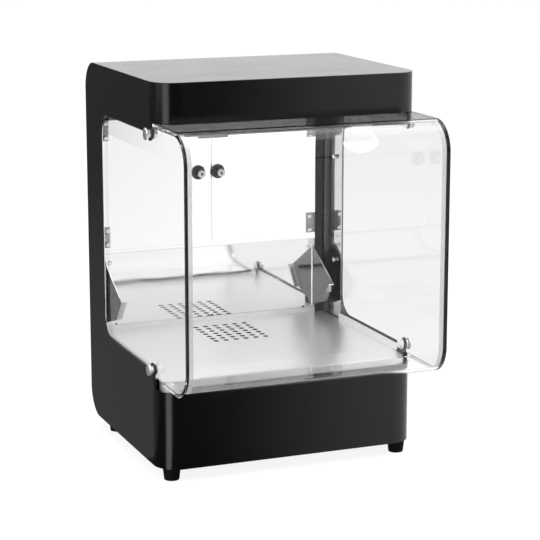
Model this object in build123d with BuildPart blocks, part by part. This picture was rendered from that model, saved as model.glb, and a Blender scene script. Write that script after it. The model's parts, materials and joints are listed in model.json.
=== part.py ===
"""Counter-top chip warmer.

A black sheet-steel cabinet with a clear bow-fronted hood, a perforated stainless deck over a fan heater,
two clear doors and a tilting flap at the rear, and a reflector lamp in the ceiling.

Millimetres. +Z is up, -Y is the customer's side, and the origin is at the centre of the footprint, on the
counter. Lengths are sizes of one piece; names that end in _x, _y or _z are places in this frame.
"""

import os
from math import cos, radians, sin, tan

from build123d import *

os.makedirs("parts", exist_ok=True)

# ---------------------------------------------------------------------------
# Driving dimensions
# ---------------------------------------------------------------------------

# The gap left round a piece that is dropped into place.
seat_gap = 0.3

# Cabinet
body_width = 365.0
body_depth = 312.0
body_height = 505.0
foot_height = 17.0
shell_sheet = 1.2
front_corner_radius = 32.0
rear_corner_radius = 38.0
base_front_height = 104.0
side_sill_height = 129.5
fascia_height = 53.0
side_band_height = 66.0
post_depth = 72.0
post_width = 20.0
jamb_return = 13.0
lining_inset = 1.3
window_screw_depth = 22.0
window_screw_drop = 96.0
window_screw_lift = 99.0
window_screw_radius = 2.0
window_screw_head_radius = 3.7
window_screw_head_height = 2.2
window_screw_head_edge_radius = 1.2
notch_length = 25.0
window_corner_radius = 28.0
bend_radius = 2.5
roof_flange_length = 12.0
roof_rear_drop = 77.0
header_height = 31.0
header_hem = 8.0
plate_flange_height = 12.0
frame_setback = 9.8
rear_sill_height = 119.0
bottom_flange_length = 6.0

# Deck
deck_sheet = 1.0
duct_sheet = 1.0
plenum_height = 14.0
deck_fall = 3.5
deck_front_setback = 3.0
deck_fold_depth = 60.0
deck_corner_radius = 30.0
deck_upstand_height = 10.0
deck_rear_upstand_height = 7.0
deck_upstand_start = 44.0
vent_columns = 6
vent_rows = 7
vent_pitch_x = 15.0
vent_pitch_y = 14.0
vent_hole_radius = 4.0
vent_rear_inset = 84.0

# Hood
hood_bulge = 95.0
hood_bend_radius = 40.0
pane_thickness = 4.0
pane_inset = 1.6
gasket_thickness = 1.0
hood_top_gap = 0.6
hood_lift = 11.4
fixing_depth = 31.5
fixing_offset = 0.6
ear_radius = 9.0
fixing_shank_radius = 2.9
fixing_hole_clearance = 0.1
fixing_spacer_radius = 5.5
fixing_spacer_length = 3.6
fixing_cap_radius = 8.0
fixing_cap_thickness = 3.0
fixing_cap_edge_radius = 1.0
fixing_washer_radius = 7.0
fixing_nut_radius = 5.6
fixing_nut_thickness = 4.0
fixing_nut_flange = 1.0

# Rear doors
door_thickness = 4.0
door_gap = 0.3
door_overlap = 2.0
door_middle_gap = 1.6
door_above_flap = 5.0
door_top_overlap = 3.0
door_corner_radius = 6.0
knob_offset = 15.0
knob_below_door_top = 88.0
knob_stem_radius = 4.5
knob_stem_length = 7.0
knob_radius = 10.0
knob_thickness = 8.0
knob_edge_radius = 2.5
knob_screw_radius = 2.0
knob_screw_depth = 9.0
screw_cap_radius = 5.5
screw_cap_thickness = 3.0
screw_cap_edge_radius = 1.5
screw_socket_radius = 1.8
screw_socket_depth = 1.5

# Door hinges
hinge_inset = 18.5
hinge_height = 30.0
hinge_leaf = 1.2
hinge_pin_radius = 1.2
hinge_running_clearance = 0.05
hinge_knuckle_radius = 2.8
hinge_knuckle_gap = 0.3
hinge_pin_from_post = 6.0
hinge_door_leaf_width = 15.7
hinge_frame_leaf_width = 10.0
hinge_screw_inset = 4.8
hinge_screw_pitch = 20.0
small_screw_radius = 1.5
small_screw_clearance = 0.1
small_head_radius = 3.2
small_head_height = 1.8
small_head_edge_radius = 0.9
small_nut_radius = 2.9
small_nut_height = 2.2

# Rear flap
flap_sheet = 1.0
flap_overlap = 7.0
flap_top_height = 229.0
flap_lip_depth = 8.0
flap_lip_inset = 15.0
flap_cheek_gap = 2.5
flap_cheek_drop = 10.35
flap_cheek_angle = 58.0
flap_heel_radius = 58.0
flap_heel_angle = 70.0
flap_toe_radius = 19.0
flap_toe_angle = 62.0
flap_cheek_fold = 8.0
flap_cheek_bend_radius = 1.8
flap_rod_radius = 1.5
flap_hem_wall = 1.2
flap_hem_lift = 2.9
flap_lug_inset = 16.0
flap_lug_thickness = 2.0
flap_lug_gap = 0.4
flap_lug_rim = 0.1
flap_tilt_range = 55.0
flap_rivet_inset = 8.0
flap_rivet_drop = 13.5
flap_rivet_radius = 1.6
flap_rivet_head_radius = 3.4
flap_rivet_head_height = 1.6
flap_rivet_edge_radius = 1.0

# Door catch
catch_width = 44.0
catch_height = 13.0
catch_depth = 7.0
strike_radius = 7.0
strike_thickness = 0.9
catch_gap = 0.3
catch_corner_radius = 1.0
strike_margin = 1.5

# Lamp
lamp_side_inset = 50.5
lamp_depth = 76.0
bulb_radius = 24.0
bulb_face_height = 12.0
bulb_neck_radius = 12.8
bulb_drop = 61.0
bulb_cone_height = 24.0
bulb_neck_length = 12.0
bulb_cap_radius = 7.0
bulb_cap_length = 22.0
lamp_holder_radius = 15.0
lamp_holder_length = 40.0
lamp_holder_crown_radius = 5.0
lamp_collar_width = 7.5
lamp_collar_thickness = 2.5
lamp_collar_chamfer = 1.2

# Heater and fan
duct_margin = 9.0
duct_height = 42.0
duct_flange = 9.0
heater_rod_radius = 3.2
heater_pitch = 20.0
heater_bend_radius = 9.9
heater_tail = 14.0
heater_bush_radius = 6.0
heater_bush_length = 3.0
heater_bush_spigot = 1.0
fan_size = 80.0
fan_thickness = 25.0
fan_bore_radius = 38.0
fan_hole_pitch = 71.5
fan_hole_radius = 2.2
fan_screw_head_radius = 4.2
fan_screw_head_height = 1.6
fan_nut_radius = 4.3
fan_nut_height = 3.2
fan_hub_radius = 17.0
fan_hub_plate = 4.0
fan_arm_width = 5.0
fan_tip_clearance = 1.5
fan_blades = 7
fan_blade_thickness = 1.4
fan_blade_root_pitch = 55.0
fan_blade_tip_pitch = 30.0
fan_shaft_radius = 2.0
fan_running_clearance = 0.05

# Overheat thermostat and terminal block
thermostat_radius = 8.0
thermostat_thickness = 5.0
thermostat_edge_radius = 1.0
thermostat_plate_length = 30.0
thermostat_plate_width = 10.0
thermostat_blade_width = 6.3
thermostat_blade_length = 8.0
thermostat_blade_spacing = 9.0
terminal_side_inset = 72.5
terminal_from_vents = 78.0
terminal_ways = 3
terminal_pitch = 12.0
terminal_width = 22.0
terminal_base_height = 8.0
terminal_height = 15.0
terminal_well_radius = 3.2
terminal_well_depth = 5.0

# Switches and gland
switch_side_inset = 64.5
switch_pitch = 30.0
switch_height = 62.0
switch_bezel_width = 15.0
switch_bezel_height = 25.0
switch_bezel_thickness = 1.5
switch_bezel_corner_radius = 1.5
switch_bezel_chamfer = 0.5
switch_body_width = 12.6
switch_body_height = 22.2
switch_body_depth = 14.0
switch_well_width = 9.8
switch_well_height = 19.6
switch_well_depth = 8.5
rocker_length = 17.2
rocker_side_gap = 0.4
rocker_tilt = 10.0
rocker_rise = 1.6
rocker_heel_length = 15.2
rocker_heel_drop = 3.0
rocker_keel_length = 6.0
rocker_keel_drop = 5.5
rocker_pivot_depth = 2.0
rocker_pivot_radius = 1.2
rocker_pivot_length = 0.9
rocker_running_clearance = 0.06
gland_side_inset = 64.5
gland_height = 52.0
gland_thread_radius = 8.0
gland_flange_radius = 11.0
gland_flange_length = 3.5
gland_nose_radius = 8.5
gland_nose_length = 5.0
gland_nose_edge_radius = 1.6
gland_bore_radius = 3.5
gland_nut_length = 5.0
air_slots = 9
air_slot_pitch = 8.0
air_slot_length = 34.0
air_slot_width = 3.0

# Feet
foot_top_radius = 12.0
foot_bottom_radius = 10.0
foot_edge_radius = 1.2
foot_side_inset = 20.0
foot_front_inset = 18.0
foot_rear_inset = 58.0
foot_stud_radius = 3.0
foot_stud_length = 12.0
foot_nut_radius = 5.5
foot_nut_thickness = 5.0

# ---------------------------------------------------------------------------
# Places that follow from the driving dimensions
# ---------------------------------------------------------------------------

half_width = body_width / 2
inner_half_width = half_width - shell_sheet
rear_reach = door_gap + door_thickness + knob_stem_length + knob_thickness - frame_setback
body_front_y = (hood_bulge - body_depth - rear_reach) / 2
body_rear_y = body_front_y + body_depth
hood_front_y = body_front_y - hood_bulge
notch_y = body_front_y + notch_length
post_front_y = body_rear_y - post_depth
frame_rear_y = body_rear_y - frame_setback
fixing_y = body_front_y + fixing_depth

body_bottom_z = foot_height
body_top_z = body_bottom_z + body_height
base_top_z = body_bottom_z + base_front_height
side_sill_z = body_bottom_z + side_sill_height
rear_sill_z = body_bottom_z + rear_sill_height
fascia_bottom_z = body_top_z - fascia_height
band_bottom_z = body_top_z - side_band_height
deck_top_z = base_top_z + plenum_height
hood_top_z = fascia_bottom_z - hood_top_gap
hood_bottom_z = base_top_z + hood_lift
fixing_low_z = side_sill_z + fixing_offset
fixing_high_z = band_bottom_z - fixing_offset
header_bottom_z = fascia_bottom_z - header_height

post_inner_x = half_width - post_width
jamb_inner_y = frame_rear_y - shell_sheet
jamb_front_y = frame_rear_y - jamb_return
door_inner_y = frame_rear_y + door_gap
door_outer_y = door_inner_y + door_thickness
flap_top_z = body_bottom_z + flap_top_height
door_bottom_z = flap_top_z + door_above_flap
door_top_z = header_bottom_z + door_top_overlap
door_edge_x = post_inner_x + door_overlap
knob_z = door_top_z - knob_below_door_top
hinge_pin_x = post_inner_x + hinge_pin_from_post
hinge_pin_y = door_outer_y + hinge_knuckle_radius
hinge_low_z = door_bottom_z + hinge_inset
hinge_high_z = door_top_z - hinge_inset

pane_outer_x = inner_half_width - pane_inset
pane_inner_x = pane_outer_x - pane_thickness
deck_half_width = pane_inner_x - seat_gap
flap_inner_y = frame_rear_y + door_gap
flap_outer_y = flap_inner_y + flap_sheet
hem_radius = flap_rod_radius + hinge_running_clearance + flap_hem_wall
flap_axis_y = flap_outer_y + hem_radius - flap_sheet
flap_axis_z = rear_sill_z + flap_hem_lift + hem_radius
flap_cheek_radius = flap_top_z - flap_cheek_drop - flap_axis_z
flap_half_width = post_inner_x + flap_overlap
cheek_outer_x = post_inner_x - flap_cheek_gap
lug_places_x = (-cheek_outer_x + flap_lug_inset, 0, cheek_outer_x - flap_lug_inset)

vent_y = body_rear_y - vent_rear_inset
lamp_x = half_width - lamp_side_inset
lamp_y = body_front_y + lamp_depth
gland_x = half_width - gland_side_inset
lamp_switch_x = -half_width + switch_side_inset
switch_x = (lamp_switch_x, lamp_switch_x + switch_pitch)
bulb_bottom_z = fascia_bottom_z - bulb_drop

SIDES = {"left": -1, "right": 1}


# ---------------------------------------------------------------------------
# Helpers
# ---------------------------------------------------------------------------


def finish(piece, name):
    """Name a finished piece and write it."""
    piece.part.label = name
    export_step(piece.part, f"parts/{name}.step")


def rectangle(left, right, low, high, mode=Mode.ADD):
    """A rectangle between two pairs of limits, in the sketch that is open."""
    with Locations(((left + right) / 2, (low + high) / 2)):
        Rectangle(right - left, high - low, mode=mode)


def level(z):
    """The horizontal plane at height z."""
    return Plane.XY.offset(z)


def facing_front(y):
    """The upright plane at y, seen from the front. Extruding moves towards the customer."""
    return Plane.XZ.offset(-y)


def facing_right(x):
    """The upright plane at x, with sketch axes Y and Z. Extruding moves to +X."""
    return Plane.YZ.offset(x)


def plan_outline(inset, front_y, rear_y, corner_radius):
    """The body's plan with its two round front corners."""
    with BuildSketch() as outline:
        rectangle(-half_width + inset, half_width - inset, front_y, rear_y)
        fillet(outline.vertices().group_by(Axis.Y)[0], corner_radius)
    return outline.sketch


def shell_plan(inset):
    """The plan of the outer shell, moved inwards by inset and square at the rear."""
    return plan_outline(inset, body_front_y + inset, body_rear_y, front_corner_radius - inset)


def plate_plan(rear_y):
    """The plan of a plate that fits inside the shell and ends at rear_y."""
    return plan_outline(
        shell_sheet, body_front_y + shell_sheet, rear_y, front_corner_radius - shell_sheet
    )


def folded_sheet(points, radii, thickness, side):
    """The section of a folded sheet. The points follow one face, and the sheet lies on the given side."""
    with BuildSketch() as section:
        with BuildLine():
            FilletPolyline(points, radius=radii)
            offset(amount=thickness, side=side)
        make_face()
    return section.sketch


# ---------------------------------------------------------------------------
# Cabinet
# ---------------------------------------------------------------------------

fixing_places = [(fixing_y, fixing_low_z), (fixing_y, fixing_high_z)]

# One sheet wrapped round the sides and the front, cut away for the hood.
with BuildPart() as outer_shell:
    with BuildSketch(level(body_bottom_z)):
        add(shell_plan(0))
        add(shell_plan(shell_sheet), mode=Mode.SUBTRACT)
    extrude(amount=body_height)
    with BuildSketch(facing_right(-half_width)) as side_outline:
        rectangle(body_front_y, body_rear_y, body_bottom_z, body_top_z)
        fillet(side_outline.vertices().group_by(Axis.X)[-1], rear_corner_radius)
    extrude(amount=body_width, mode=Mode.INTERSECT)
    # The side windows, the stepped notch at the front and an ear round each hood fixing.
    with BuildSketch(facing_right(-half_width)) as side_opening:
        rectangle(notch_y, post_front_y, side_sill_z, band_bottom_z)
        fillet(side_opening.vertices().group_by(Axis.X)[-1], window_corner_radius)
        rectangle(body_front_y - shell_sheet, notch_y, base_top_z, fascia_bottom_z)
        with Locations(*fixing_places):
            Circle(ear_radius, mode=Mode.SUBTRACT)
    extrude(amount=body_width, mode=Mode.SUBTRACT)
    with BuildSketch(facing_right(-half_width)):
        with Locations(*fixing_places):
            Circle(fixing_shank_radius + fixing_hole_clearance)
    extrude(amount=body_width, mode=Mode.SUBTRACT)
finish(outer_shell, "outer_shell")

# The roof sheet rolls over the rear corner and ends above the doors.
with BuildPart() as roof_panel:
    roof_points = [
        (body_front_y + shell_sheet, body_top_z - roof_flange_length),
        (body_front_y + shell_sheet, body_top_z),
        (body_rear_y, body_top_z),
        (body_rear_y, body_top_z - roof_rear_drop),
    ]
    with BuildSketch(facing_right(-inner_half_width)):
        add(folded_sheet(roof_points, [bend_radius, rear_corner_radius], shell_sheet, Side.RIGHT))
    extrude(amount=2 * inner_half_width)
    with BuildSketch(level(body_bottom_z)):
        add(shell_plan(shell_sheet))
    extrude(amount=body_height, mode=Mode.INTERSECT)
finish(roof_panel, "roof_panel")

# The rear of the base rolls under the body, and folds forward at the top as the flap's sill.
switch_z = body_bottom_z + switch_height
gland_z = body_bottom_z + gland_height
flat_floor_rear_y = body_rear_y - rear_corner_radius - bottom_flange_length
base_wall_y = body_rear_y - shell_sheet
lug_boss_radius = hem_radius + flap_lug_rim


def stop_height(y):
    """The height at y of the slope that meets the open flap, a lug gap below the panel."""
    panel_offset = flap_outer_y - flap_axis_y + flap_lug_gap
    tilt = radians(flap_tilt_range)
    return flap_axis_z + ((y - flap_axis_y) * cos(tilt) - panel_offset) / sin(tilt)


with BuildPart() as rear_base_panel:
    base_points = [
        (flat_floor_rear_y, body_bottom_z),
        (body_rear_y, body_bottom_z),
        (body_rear_y, rear_sill_z),
        (flap_outer_y, rear_sill_z),
    ]
    with BuildSketch(facing_right(-inner_half_width)):
        add(folded_sheet(base_points, [rear_corner_radius, bend_radius], shell_sheet, Side.LEFT))
    extrude(amount=2 * inner_half_width)
    with BuildSketch(facing_front(body_rear_y)):
        with Locations(*[(x, switch_z) for x in switch_x]):
            Rectangle(switch_body_width, switch_body_height)
        with Locations((gland_x, gland_z)):
            Circle(gland_thread_radius)
        with Locations((0, switch_z)):
            with GridLocations(air_slot_pitch, 0, air_slots, 1):
                SlotOverall(air_slot_length, air_slot_width, rotation=90)
    extrude(amount=2 * shell_sheet, mode=Mode.SUBTRACT)
    # Three lugs carry the flap's rod. The slope behind each one stops the open flap.
    for x in lug_places_x:
        with BuildSketch(facing_right(x - flap_lug_thickness / 2)):
            with BuildLine():
                Polyline(
                    (flap_axis_y - lug_boss_radius / 2, rear_sill_z),
                    (flap_axis_y - lug_boss_radius / 2, flap_axis_z),
                    (flap_axis_y, stop_height(flap_axis_y)),
                    (base_wall_y, stop_height(base_wall_y)),
                    (base_wall_y, rear_sill_z),
                    close=True,
                )
            make_face()
            with Locations((flap_axis_y, flap_axis_z)):
                Circle(lug_boss_radius)
                Circle(flap_rod_radius, mode=Mode.SUBTRACT)
        extrude(amount=flap_lug_thickness)
finish(rear_base_panel, "rear_base_panel")

foot_places = [
    (side * (half_width - foot_side_inset), y)
    for side in SIDES.values()
    for y in (body_front_y + foot_front_inset, body_rear_y - foot_rear_inset)
]
with BuildPart() as bottom_plate:
    with BuildSketch(level(body_bottom_z)):
        add(plate_plan(flat_floor_rear_y))
        with Locations(*foot_places):
            Circle(foot_stud_radius, mode=Mode.SUBTRACT)
        with Locations((0, vent_y)):
            with GridLocations(air_slot_pitch, 0, air_slots, 1):
                SlotOverall(air_slot_length, air_slot_width, rotation=90, mode=Mode.SUBTRACT)
    extrude(amount=shell_sheet)
finish(bottom_plate, "bottom_plate")

# The ledge under the hood closes the base. Warm air comes up through its square outlet.
duct_width = (vent_columns - 1) * vent_pitch_x + 2 * (vent_hole_radius + duct_margin)
duct_length = (vent_rows - 1) * vent_pitch_y + 2 * (vent_hole_radius + duct_margin)
with BuildPart() as base_top_plate:
    with BuildSketch(level(base_top_z - shell_sheet)):
        add(plate_plan(base_wall_y))
        with Locations((0, vent_y)):
            Rectangle(duct_width, duct_length, mode=Mode.SUBTRACT)
    extrude(amount=shell_sheet)
    with BuildSketch(level(base_top_z - shell_sheet)):
        for side in SIDES.values():
            outer_x = side * inner_half_width
            rectangle(
                min(outer_x, outer_x - side * shell_sheet),
                max(outer_x, outer_x - side * shell_sheet),
                body_front_y + front_corner_radius,
                body_rear_y - rear_corner_radius,
            )
    extrude(amount=-plate_flange_height)
finish(base_top_plate, "base_top_plate")

with BuildPart() as ceiling_plate:
    with BuildSketch(level(fascia_bottom_z)):
        add(plate_plan(base_wall_y))
        with Locations((lamp_x, lamp_y)):
            Circle(lamp_holder_radius, mode=Mode.SUBTRACT)
    extrude(amount=shell_sheet)
    with BuildSketch(level(fascia_bottom_z + shell_sheet)):
        for side in SIDES.values():
            outer_x = side * inner_half_width
            rectangle(
                min(outer_x, outer_x - side * shell_sheet),
                max(outer_x, outer_x - side * shell_sheet),
                body_front_y + front_corner_radius,
                body_rear_y - rear_corner_radius,
            )
    extrude(amount=plate_flange_height)
finish(ceiling_plate, "ceiling_plate")


frame_leaf_inner_x = hinge_pin_x + hinge_leaf
frame_screw_x = frame_leaf_inner_x + hinge_leaf + (hinge_frame_leaf_width - hinge_leaf) / 2
door_leaf_outer_x = hinge_pin_x - hinge_knuckle_radius - hinge_knuckle_gap
door_screw_x = door_leaf_outer_x - hinge_door_leaf_width + hinge_screw_inset


def hinge_screw_places(x):
    """Where the screws of one post's or one door's two hinge leaves stand, as (x, z)."""
    return [
        (x, z + step)
        for z in (hinge_low_z, hinge_high_z)
        for step in (-hinge_screw_pitch / 2, hinge_screw_pitch / 2)
    ]


def door_jamb(side):
    """The angle in a rear corner: a short return on the side sheet, and the flange with the hinges."""
    points = [
        (side * inner_half_width, jamb_front_y),
        (side * inner_half_width, frame_rear_y),
        (side * post_inner_x, frame_rear_y),
    ]
    inside = Side.RIGHT if side < 0 else Side.LEFT
    with BuildPart() as jamb:
        with BuildSketch(level(base_top_z)):
            add(folded_sheet(points, bend_radius, shell_sheet, inside))
        extrude(amount=fascia_bottom_z - base_top_z)
        with BuildSketch(facing_front(frame_rear_y)):
            with Locations(*hinge_screw_places(side * frame_screw_x)):
                Circle(small_screw_radius)
        extrude(amount=shell_sheet, mode=Mode.SUBTRACT)
    return jamb


for name, side in SIDES.items():
    finish(door_jamb(side), f"{name}_door_jamb")

# Polished strips line the side sheets behind the windows, up to the jambs.
window_screw_y = post_front_y + window_screw_depth
window_screw_places = [
    (window_screw_y, base_top_z + window_screw_lift),
    (window_screw_y, fascia_bottom_z - window_screw_drop),
]
with BuildPart() as post_linings:
    with BuildSketch(level(base_top_z)):
        for side in SIDES.values():
            faces_x = sorted((side * inner_half_width, side * (inner_half_width - shell_sheet)))
            rectangle(*faces_x, post_front_y + lining_inset, jamb_front_y)
    extrude(amount=fascia_bottom_z - base_top_z)
    with BuildSketch(facing_right(-inner_half_width)):
        with Locations(*window_screw_places):
            Circle(window_screw_radius)
    extrude(amount=2 * inner_half_width, mode=Mode.SUBTRACT)
finish(post_linings, "post_linings")

# The header closes the space above the doors and stops their top edges.
with BuildPart() as rear_header:
    header_points = [
        (frame_rear_y - plate_flange_height, fascia_bottom_z),
        (frame_rear_y, fascia_bottom_z),
        (frame_rear_y, header_bottom_z),
        (frame_rear_y - header_hem, header_bottom_z),
    ]
    with BuildSketch(facing_right(-post_inner_x)):
        add(folded_sheet(header_points, [bend_radius, bend_radius], shell_sheet, Side.RIGHT))
    extrude(amount=2 * post_inner_x)
finish(rear_header, "rear_header")

# ---------------------------------------------------------------------------
# Deck
# ---------------------------------------------------------------------------

deck_front_y = body_front_y + deck_front_setback
deck_front_z = deck_top_z - deck_fall
deck_fold_y = body_front_y + deck_fold_depth
deck_rear_y = frame_rear_y - seat_gap
deck_rear_half_width = post_inner_x - seat_gap
deck_jamb_y = jamb_inner_y - seat_gap
deck_upstand_rear_y = post_front_y - seat_gap


def deck_block(inset):
    """The deck as a solid block, moved inwards by inset: notched round the jambs, low at the front."""
    half = deck_half_width - inset
    rear_half = deck_rear_half_width - inset
    with BuildPart() as block:
        with BuildSketch(level(base_top_z)) as plan:
            rectangle(-half, half, deck_front_y + inset, deck_jamb_y - inset)
            fillet(plan.vertices().group_by(Axis.Y)[0], deck_corner_radius - inset)
            rectangle(-rear_half, rear_half, deck_jamb_y - inset, deck_rear_y - inset)
        extrude(amount=plenum_height)
        with BuildSketch(facing_right(-half_width)):
            with BuildLine():
                Polyline(
                    (deck_front_y, base_top_z),
                    (deck_front_y, deck_front_z - inset),
                    (deck_fold_y, deck_top_z - inset),
                    (deck_rear_y, deck_top_z - inset),
                    (deck_rear_y, base_top_z),
                    close=True,
                )
            make_face()
        extrude(amount=body_width, mode=Mode.INTERSECT)
    return block.part


# The deck is an open-bottomed tray on the base ledge, with warm air under it.
with BuildPart() as deck_plate:
    add(deck_block(0))
    add(deck_block(deck_sheet), mode=Mode.SUBTRACT)
    with BuildSketch(level(deck_top_z)):
        for side in SIDES.values():
            edges = sorted((side * deck_half_width, side * (deck_half_width - deck_sheet)))
            rectangle(*edges, body_front_y + deck_upstand_start, deck_upstand_rear_y)
    extrude(amount=deck_upstand_height)
    with BuildSketch(level(deck_top_z)):
        rectangle(-deck_rear_half_width, deck_rear_half_width, deck_rear_y - deck_sheet, deck_rear_y)
    extrude(amount=deck_rear_upstand_height)
    with BuildSketch(level(deck_top_z)):
        with Locations((0, vent_y)):
            with GridLocations(vent_pitch_x, vent_pitch_y, vent_columns, vent_rows):
                Circle(vent_hole_radius)
    extrude(amount=-deck_sheet, mode=Mode.SUBTRACT)
finish(deck_plate, "deck_plate")

# ---------------------------------------------------------------------------
# Hood
# ---------------------------------------------------------------------------

bow_inner_y = hood_front_y + pane_thickness
bow_inner_top_z = hood_top_z - pane_thickness
bow_inner_bottom_z = hood_bottom_z + pane_thickness
bow_inner_bend_radius = hood_bend_radius - pane_thickness
hood_flat_end_y = fixing_y - ear_radius - seat_gap
hood_floor_end_y = deck_front_y - seat_gap
pane_front_y = bow_inner_y + gasket_thickness
pane_bottom_z = bow_inner_bottom_z + gasket_thickness
pane_top_z = bow_inner_top_z - gasket_thickness
pane_rear_y = jamb_inner_y - bend_radius


def side_window(side):
    """A clear side window, round at the front. It stands on the base ledge and runs back to the jamb."""
    with BuildPart() as window:
        with BuildSketch(facing_right(min(side * pane_outer_x, side * pane_inner_x))) as pane:
            rectangle(pane_front_y, pane_rear_y, pane_bottom_z, pane_top_z)
            fillet(pane.vertices().group_by(Axis.X)[0], bow_inner_bend_radius - gasket_thickness)
            rectangle(notch_y, pane_rear_y, base_top_z, pane_bottom_z)
            with Locations(*fixing_places):
                Circle(fixing_shank_radius + fixing_hole_clearance, mode=Mode.SUBTRACT)
            with Locations(*window_screw_places):
                Circle(window_screw_radius + small_screw_clearance, mode=Mode.SUBTRACT)
        extrude(amount=pane_thickness)
    return window


for name, side in SIDES.items():
    finish(side_window(side), f"{name}_side_window")

# The bow front is one sheet, bent back over the top and the bottom of the side windows.
with BuildPart() as front_window:
    bow_points = [
        (hood_flat_end_y, hood_top_z),
        (hood_front_y, hood_top_z),
        (hood_front_y, hood_bottom_z),
        (hood_floor_end_y, hood_bottom_z),
    ]
    with BuildSketch(facing_right(-pane_outer_x)):
        add(folded_sheet(bow_points, hood_bend_radius, pane_thickness, Side.LEFT))
    extrude(amount=2 * pane_outer_x)
finish(front_window, "front_window")

# A black strip seals the edge of each side window against the bow.
with BuildPart() as hood_gaskets:
    gasket_points = [
        (hood_flat_end_y, bow_inner_top_z),
        (bow_inner_y, bow_inner_top_z),
        (bow_inner_y, bow_inner_bottom_z),
        (hood_floor_end_y, bow_inner_bottom_z),
    ]
    for side in SIDES.values():
        with BuildSketch(facing_right(min(side * pane_outer_x, side * pane_inner_x))):
            add(folded_sheet(gasket_points, bow_inner_bend_radius, gasket_thickness, Side.LEFT))
        extrude(amount=pane_thickness)
finish(hood_gaskets, "hood_gaskets")


def along_x(start_x, side, y, z):
    """The plane at start_x that looks outwards on the given side."""
    return Plane(origin=(side * start_x, y, z), x_dir=(0, 1, 0), z_dir=(side, 0, 0))


fixing_cap_x = half_width + fixing_spacer_length
fixing_screw_end_x = pane_inner_x - fixing_nut_flange - fixing_nut_thickness

# Each disc-headed screw stands off the side sheet on its spacer and passes through the ear and the window.
with BuildPart() as hood_screws:
    for side in SIDES.values():
        for y, z in fixing_places:
            with BuildSketch(along_x(fixing_screw_end_x, side, y, z)):
                Circle(fixing_shank_radius)
            extrude(amount=half_width - fixing_screw_end_x)
            with BuildSketch(along_x(half_width, side, y, z)):
                Circle(fixing_spacer_radius)
            extrude(amount=fixing_spacer_length)
            with BuildSketch(along_x(fixing_cap_x, side, y, z)):
                Circle(fixing_cap_radius)
            extrude(amount=fixing_cap_thickness)
    caps = hood_screws.faces().filter_by(GeomType.PLANE).filter_by(Axis.X).sort_by(Axis.X)
    fillet((caps[:4] + caps[-4:]).edges(), fixing_cap_edge_radius)
finish(hood_screws, "hood_screws")

# Rubber washers between the side sheet and the window.
with BuildPart() as hood_washers:
    for side in SIDES.values():
        for y, z in fixing_places:
            with BuildSketch(along_x(pane_outer_x, side, y, z)):
                Circle(fixing_washer_radius)
                Circle(fixing_shank_radius, mode=Mode.SUBTRACT)
            extrude(amount=pane_inset)
    # They are pressed to the inside of the round corner.
    with BuildSketch(level(body_bottom_z)):
        add(shell_plan(shell_sheet))
    extrude(amount=body_height, mode=Mode.INTERSECT)
finish(hood_washers, "hood_washers")

with BuildPart() as hood_nuts:
    for side in SIDES.values():
        for y, z in fixing_places:
            with BuildSketch(along_x(fixing_screw_end_x, side, y, z)):
                RegularPolygon(fixing_nut_radius, 6)
            extrude(amount=fixing_nut_thickness)
            with BuildSketch(along_x(pane_inner_x - fixing_nut_flange, side, y, z)):
                Circle(fixing_washer_radius)
            extrude(amount=fixing_nut_flange)
            with BuildSketch(along_x(fixing_screw_end_x, side, y, z)):
                Circle(fixing_shank_radius)
            extrude(amount=fixing_nut_thickness + fixing_nut_flange, mode=Mode.SUBTRACT)
finish(hood_nuts, "hood_nuts")

# Round-headed screws hold the rear of each window to the post behind it.
with BuildPart() as window_screws:
    for side in SIDES.values():
        for y, z in window_screw_places:
            with BuildSketch(along_x(pane_inner_x - window_screw_head_height, side, y, z)):
                Circle(window_screw_head_radius)
            extrude(amount=window_screw_head_height)
            with BuildSketch(along_x(pane_inner_x, side, y, z)):
                Circle(window_screw_radius)
            extrude(amount=inner_half_width - pane_inner_x)
    flats = window_screws.faces().filter_by(GeomType.PLANE).filter_by(Axis.X)
    head_middle_x = pane_inner_x - window_screw_head_height / 2
    head_tops = flats.filter_by(lambda flat: abs(flat.center().X) < head_middle_x)
    fillet(head_tops.edges(), window_screw_head_edge_radius)
finish(window_screws, "window_screws")

# ---------------------------------------------------------------------------
# Rear doors
# ---------------------------------------------------------------------------


def rear_door(side):
    """A clear door, hinged at the outer edge."""
    edges = sorted((side * door_middle_gap / 2, side * door_edge_x))
    with BuildPart() as door:
        with BuildSketch(facing_front(door_outer_y)) as outline:
            rectangle(*edges, door_bottom_z, door_top_z)
            fillet(outline.vertices(), door_corner_radius)
            with Locations((side * knob_offset, knob_z)):
                Circle(knob_screw_radius + small_screw_clearance, mode=Mode.SUBTRACT)
            with Locations(*hinge_screw_places(side * door_screw_x)):
                Circle(small_screw_radius + small_screw_clearance, mode=Mode.SUBTRACT)
        extrude(amount=door_thickness)
    return door


def door_knob(side):
    """A round knob on a stem, with a blind hole for its screw."""
    knob_axis = Plane(origin=(side * knob_offset, door_outer_y, knob_z), x_dir=(1, 0, 0), z_dir=(0, 1, 0))
    with BuildPart() as knob:
        with BuildSketch(knob_axis):
            Circle(knob_stem_radius)
        extrude(amount=knob_stem_length)
        with BuildSketch(knob_axis.offset(knob_stem_length)):
            Circle(knob_radius)
        extrude(amount=knob_thickness)
        rims = knob.edges().filter_by(GeomType.CIRCLE).group_by(SortBy.RADIUS)[-1]
        fillet(rims, knob_edge_radius)
        with BuildSketch(knob_axis):
            Circle(knob_screw_radius)
        extrude(amount=knob_screw_depth, mode=Mode.SUBTRACT)
    return knob


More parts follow.
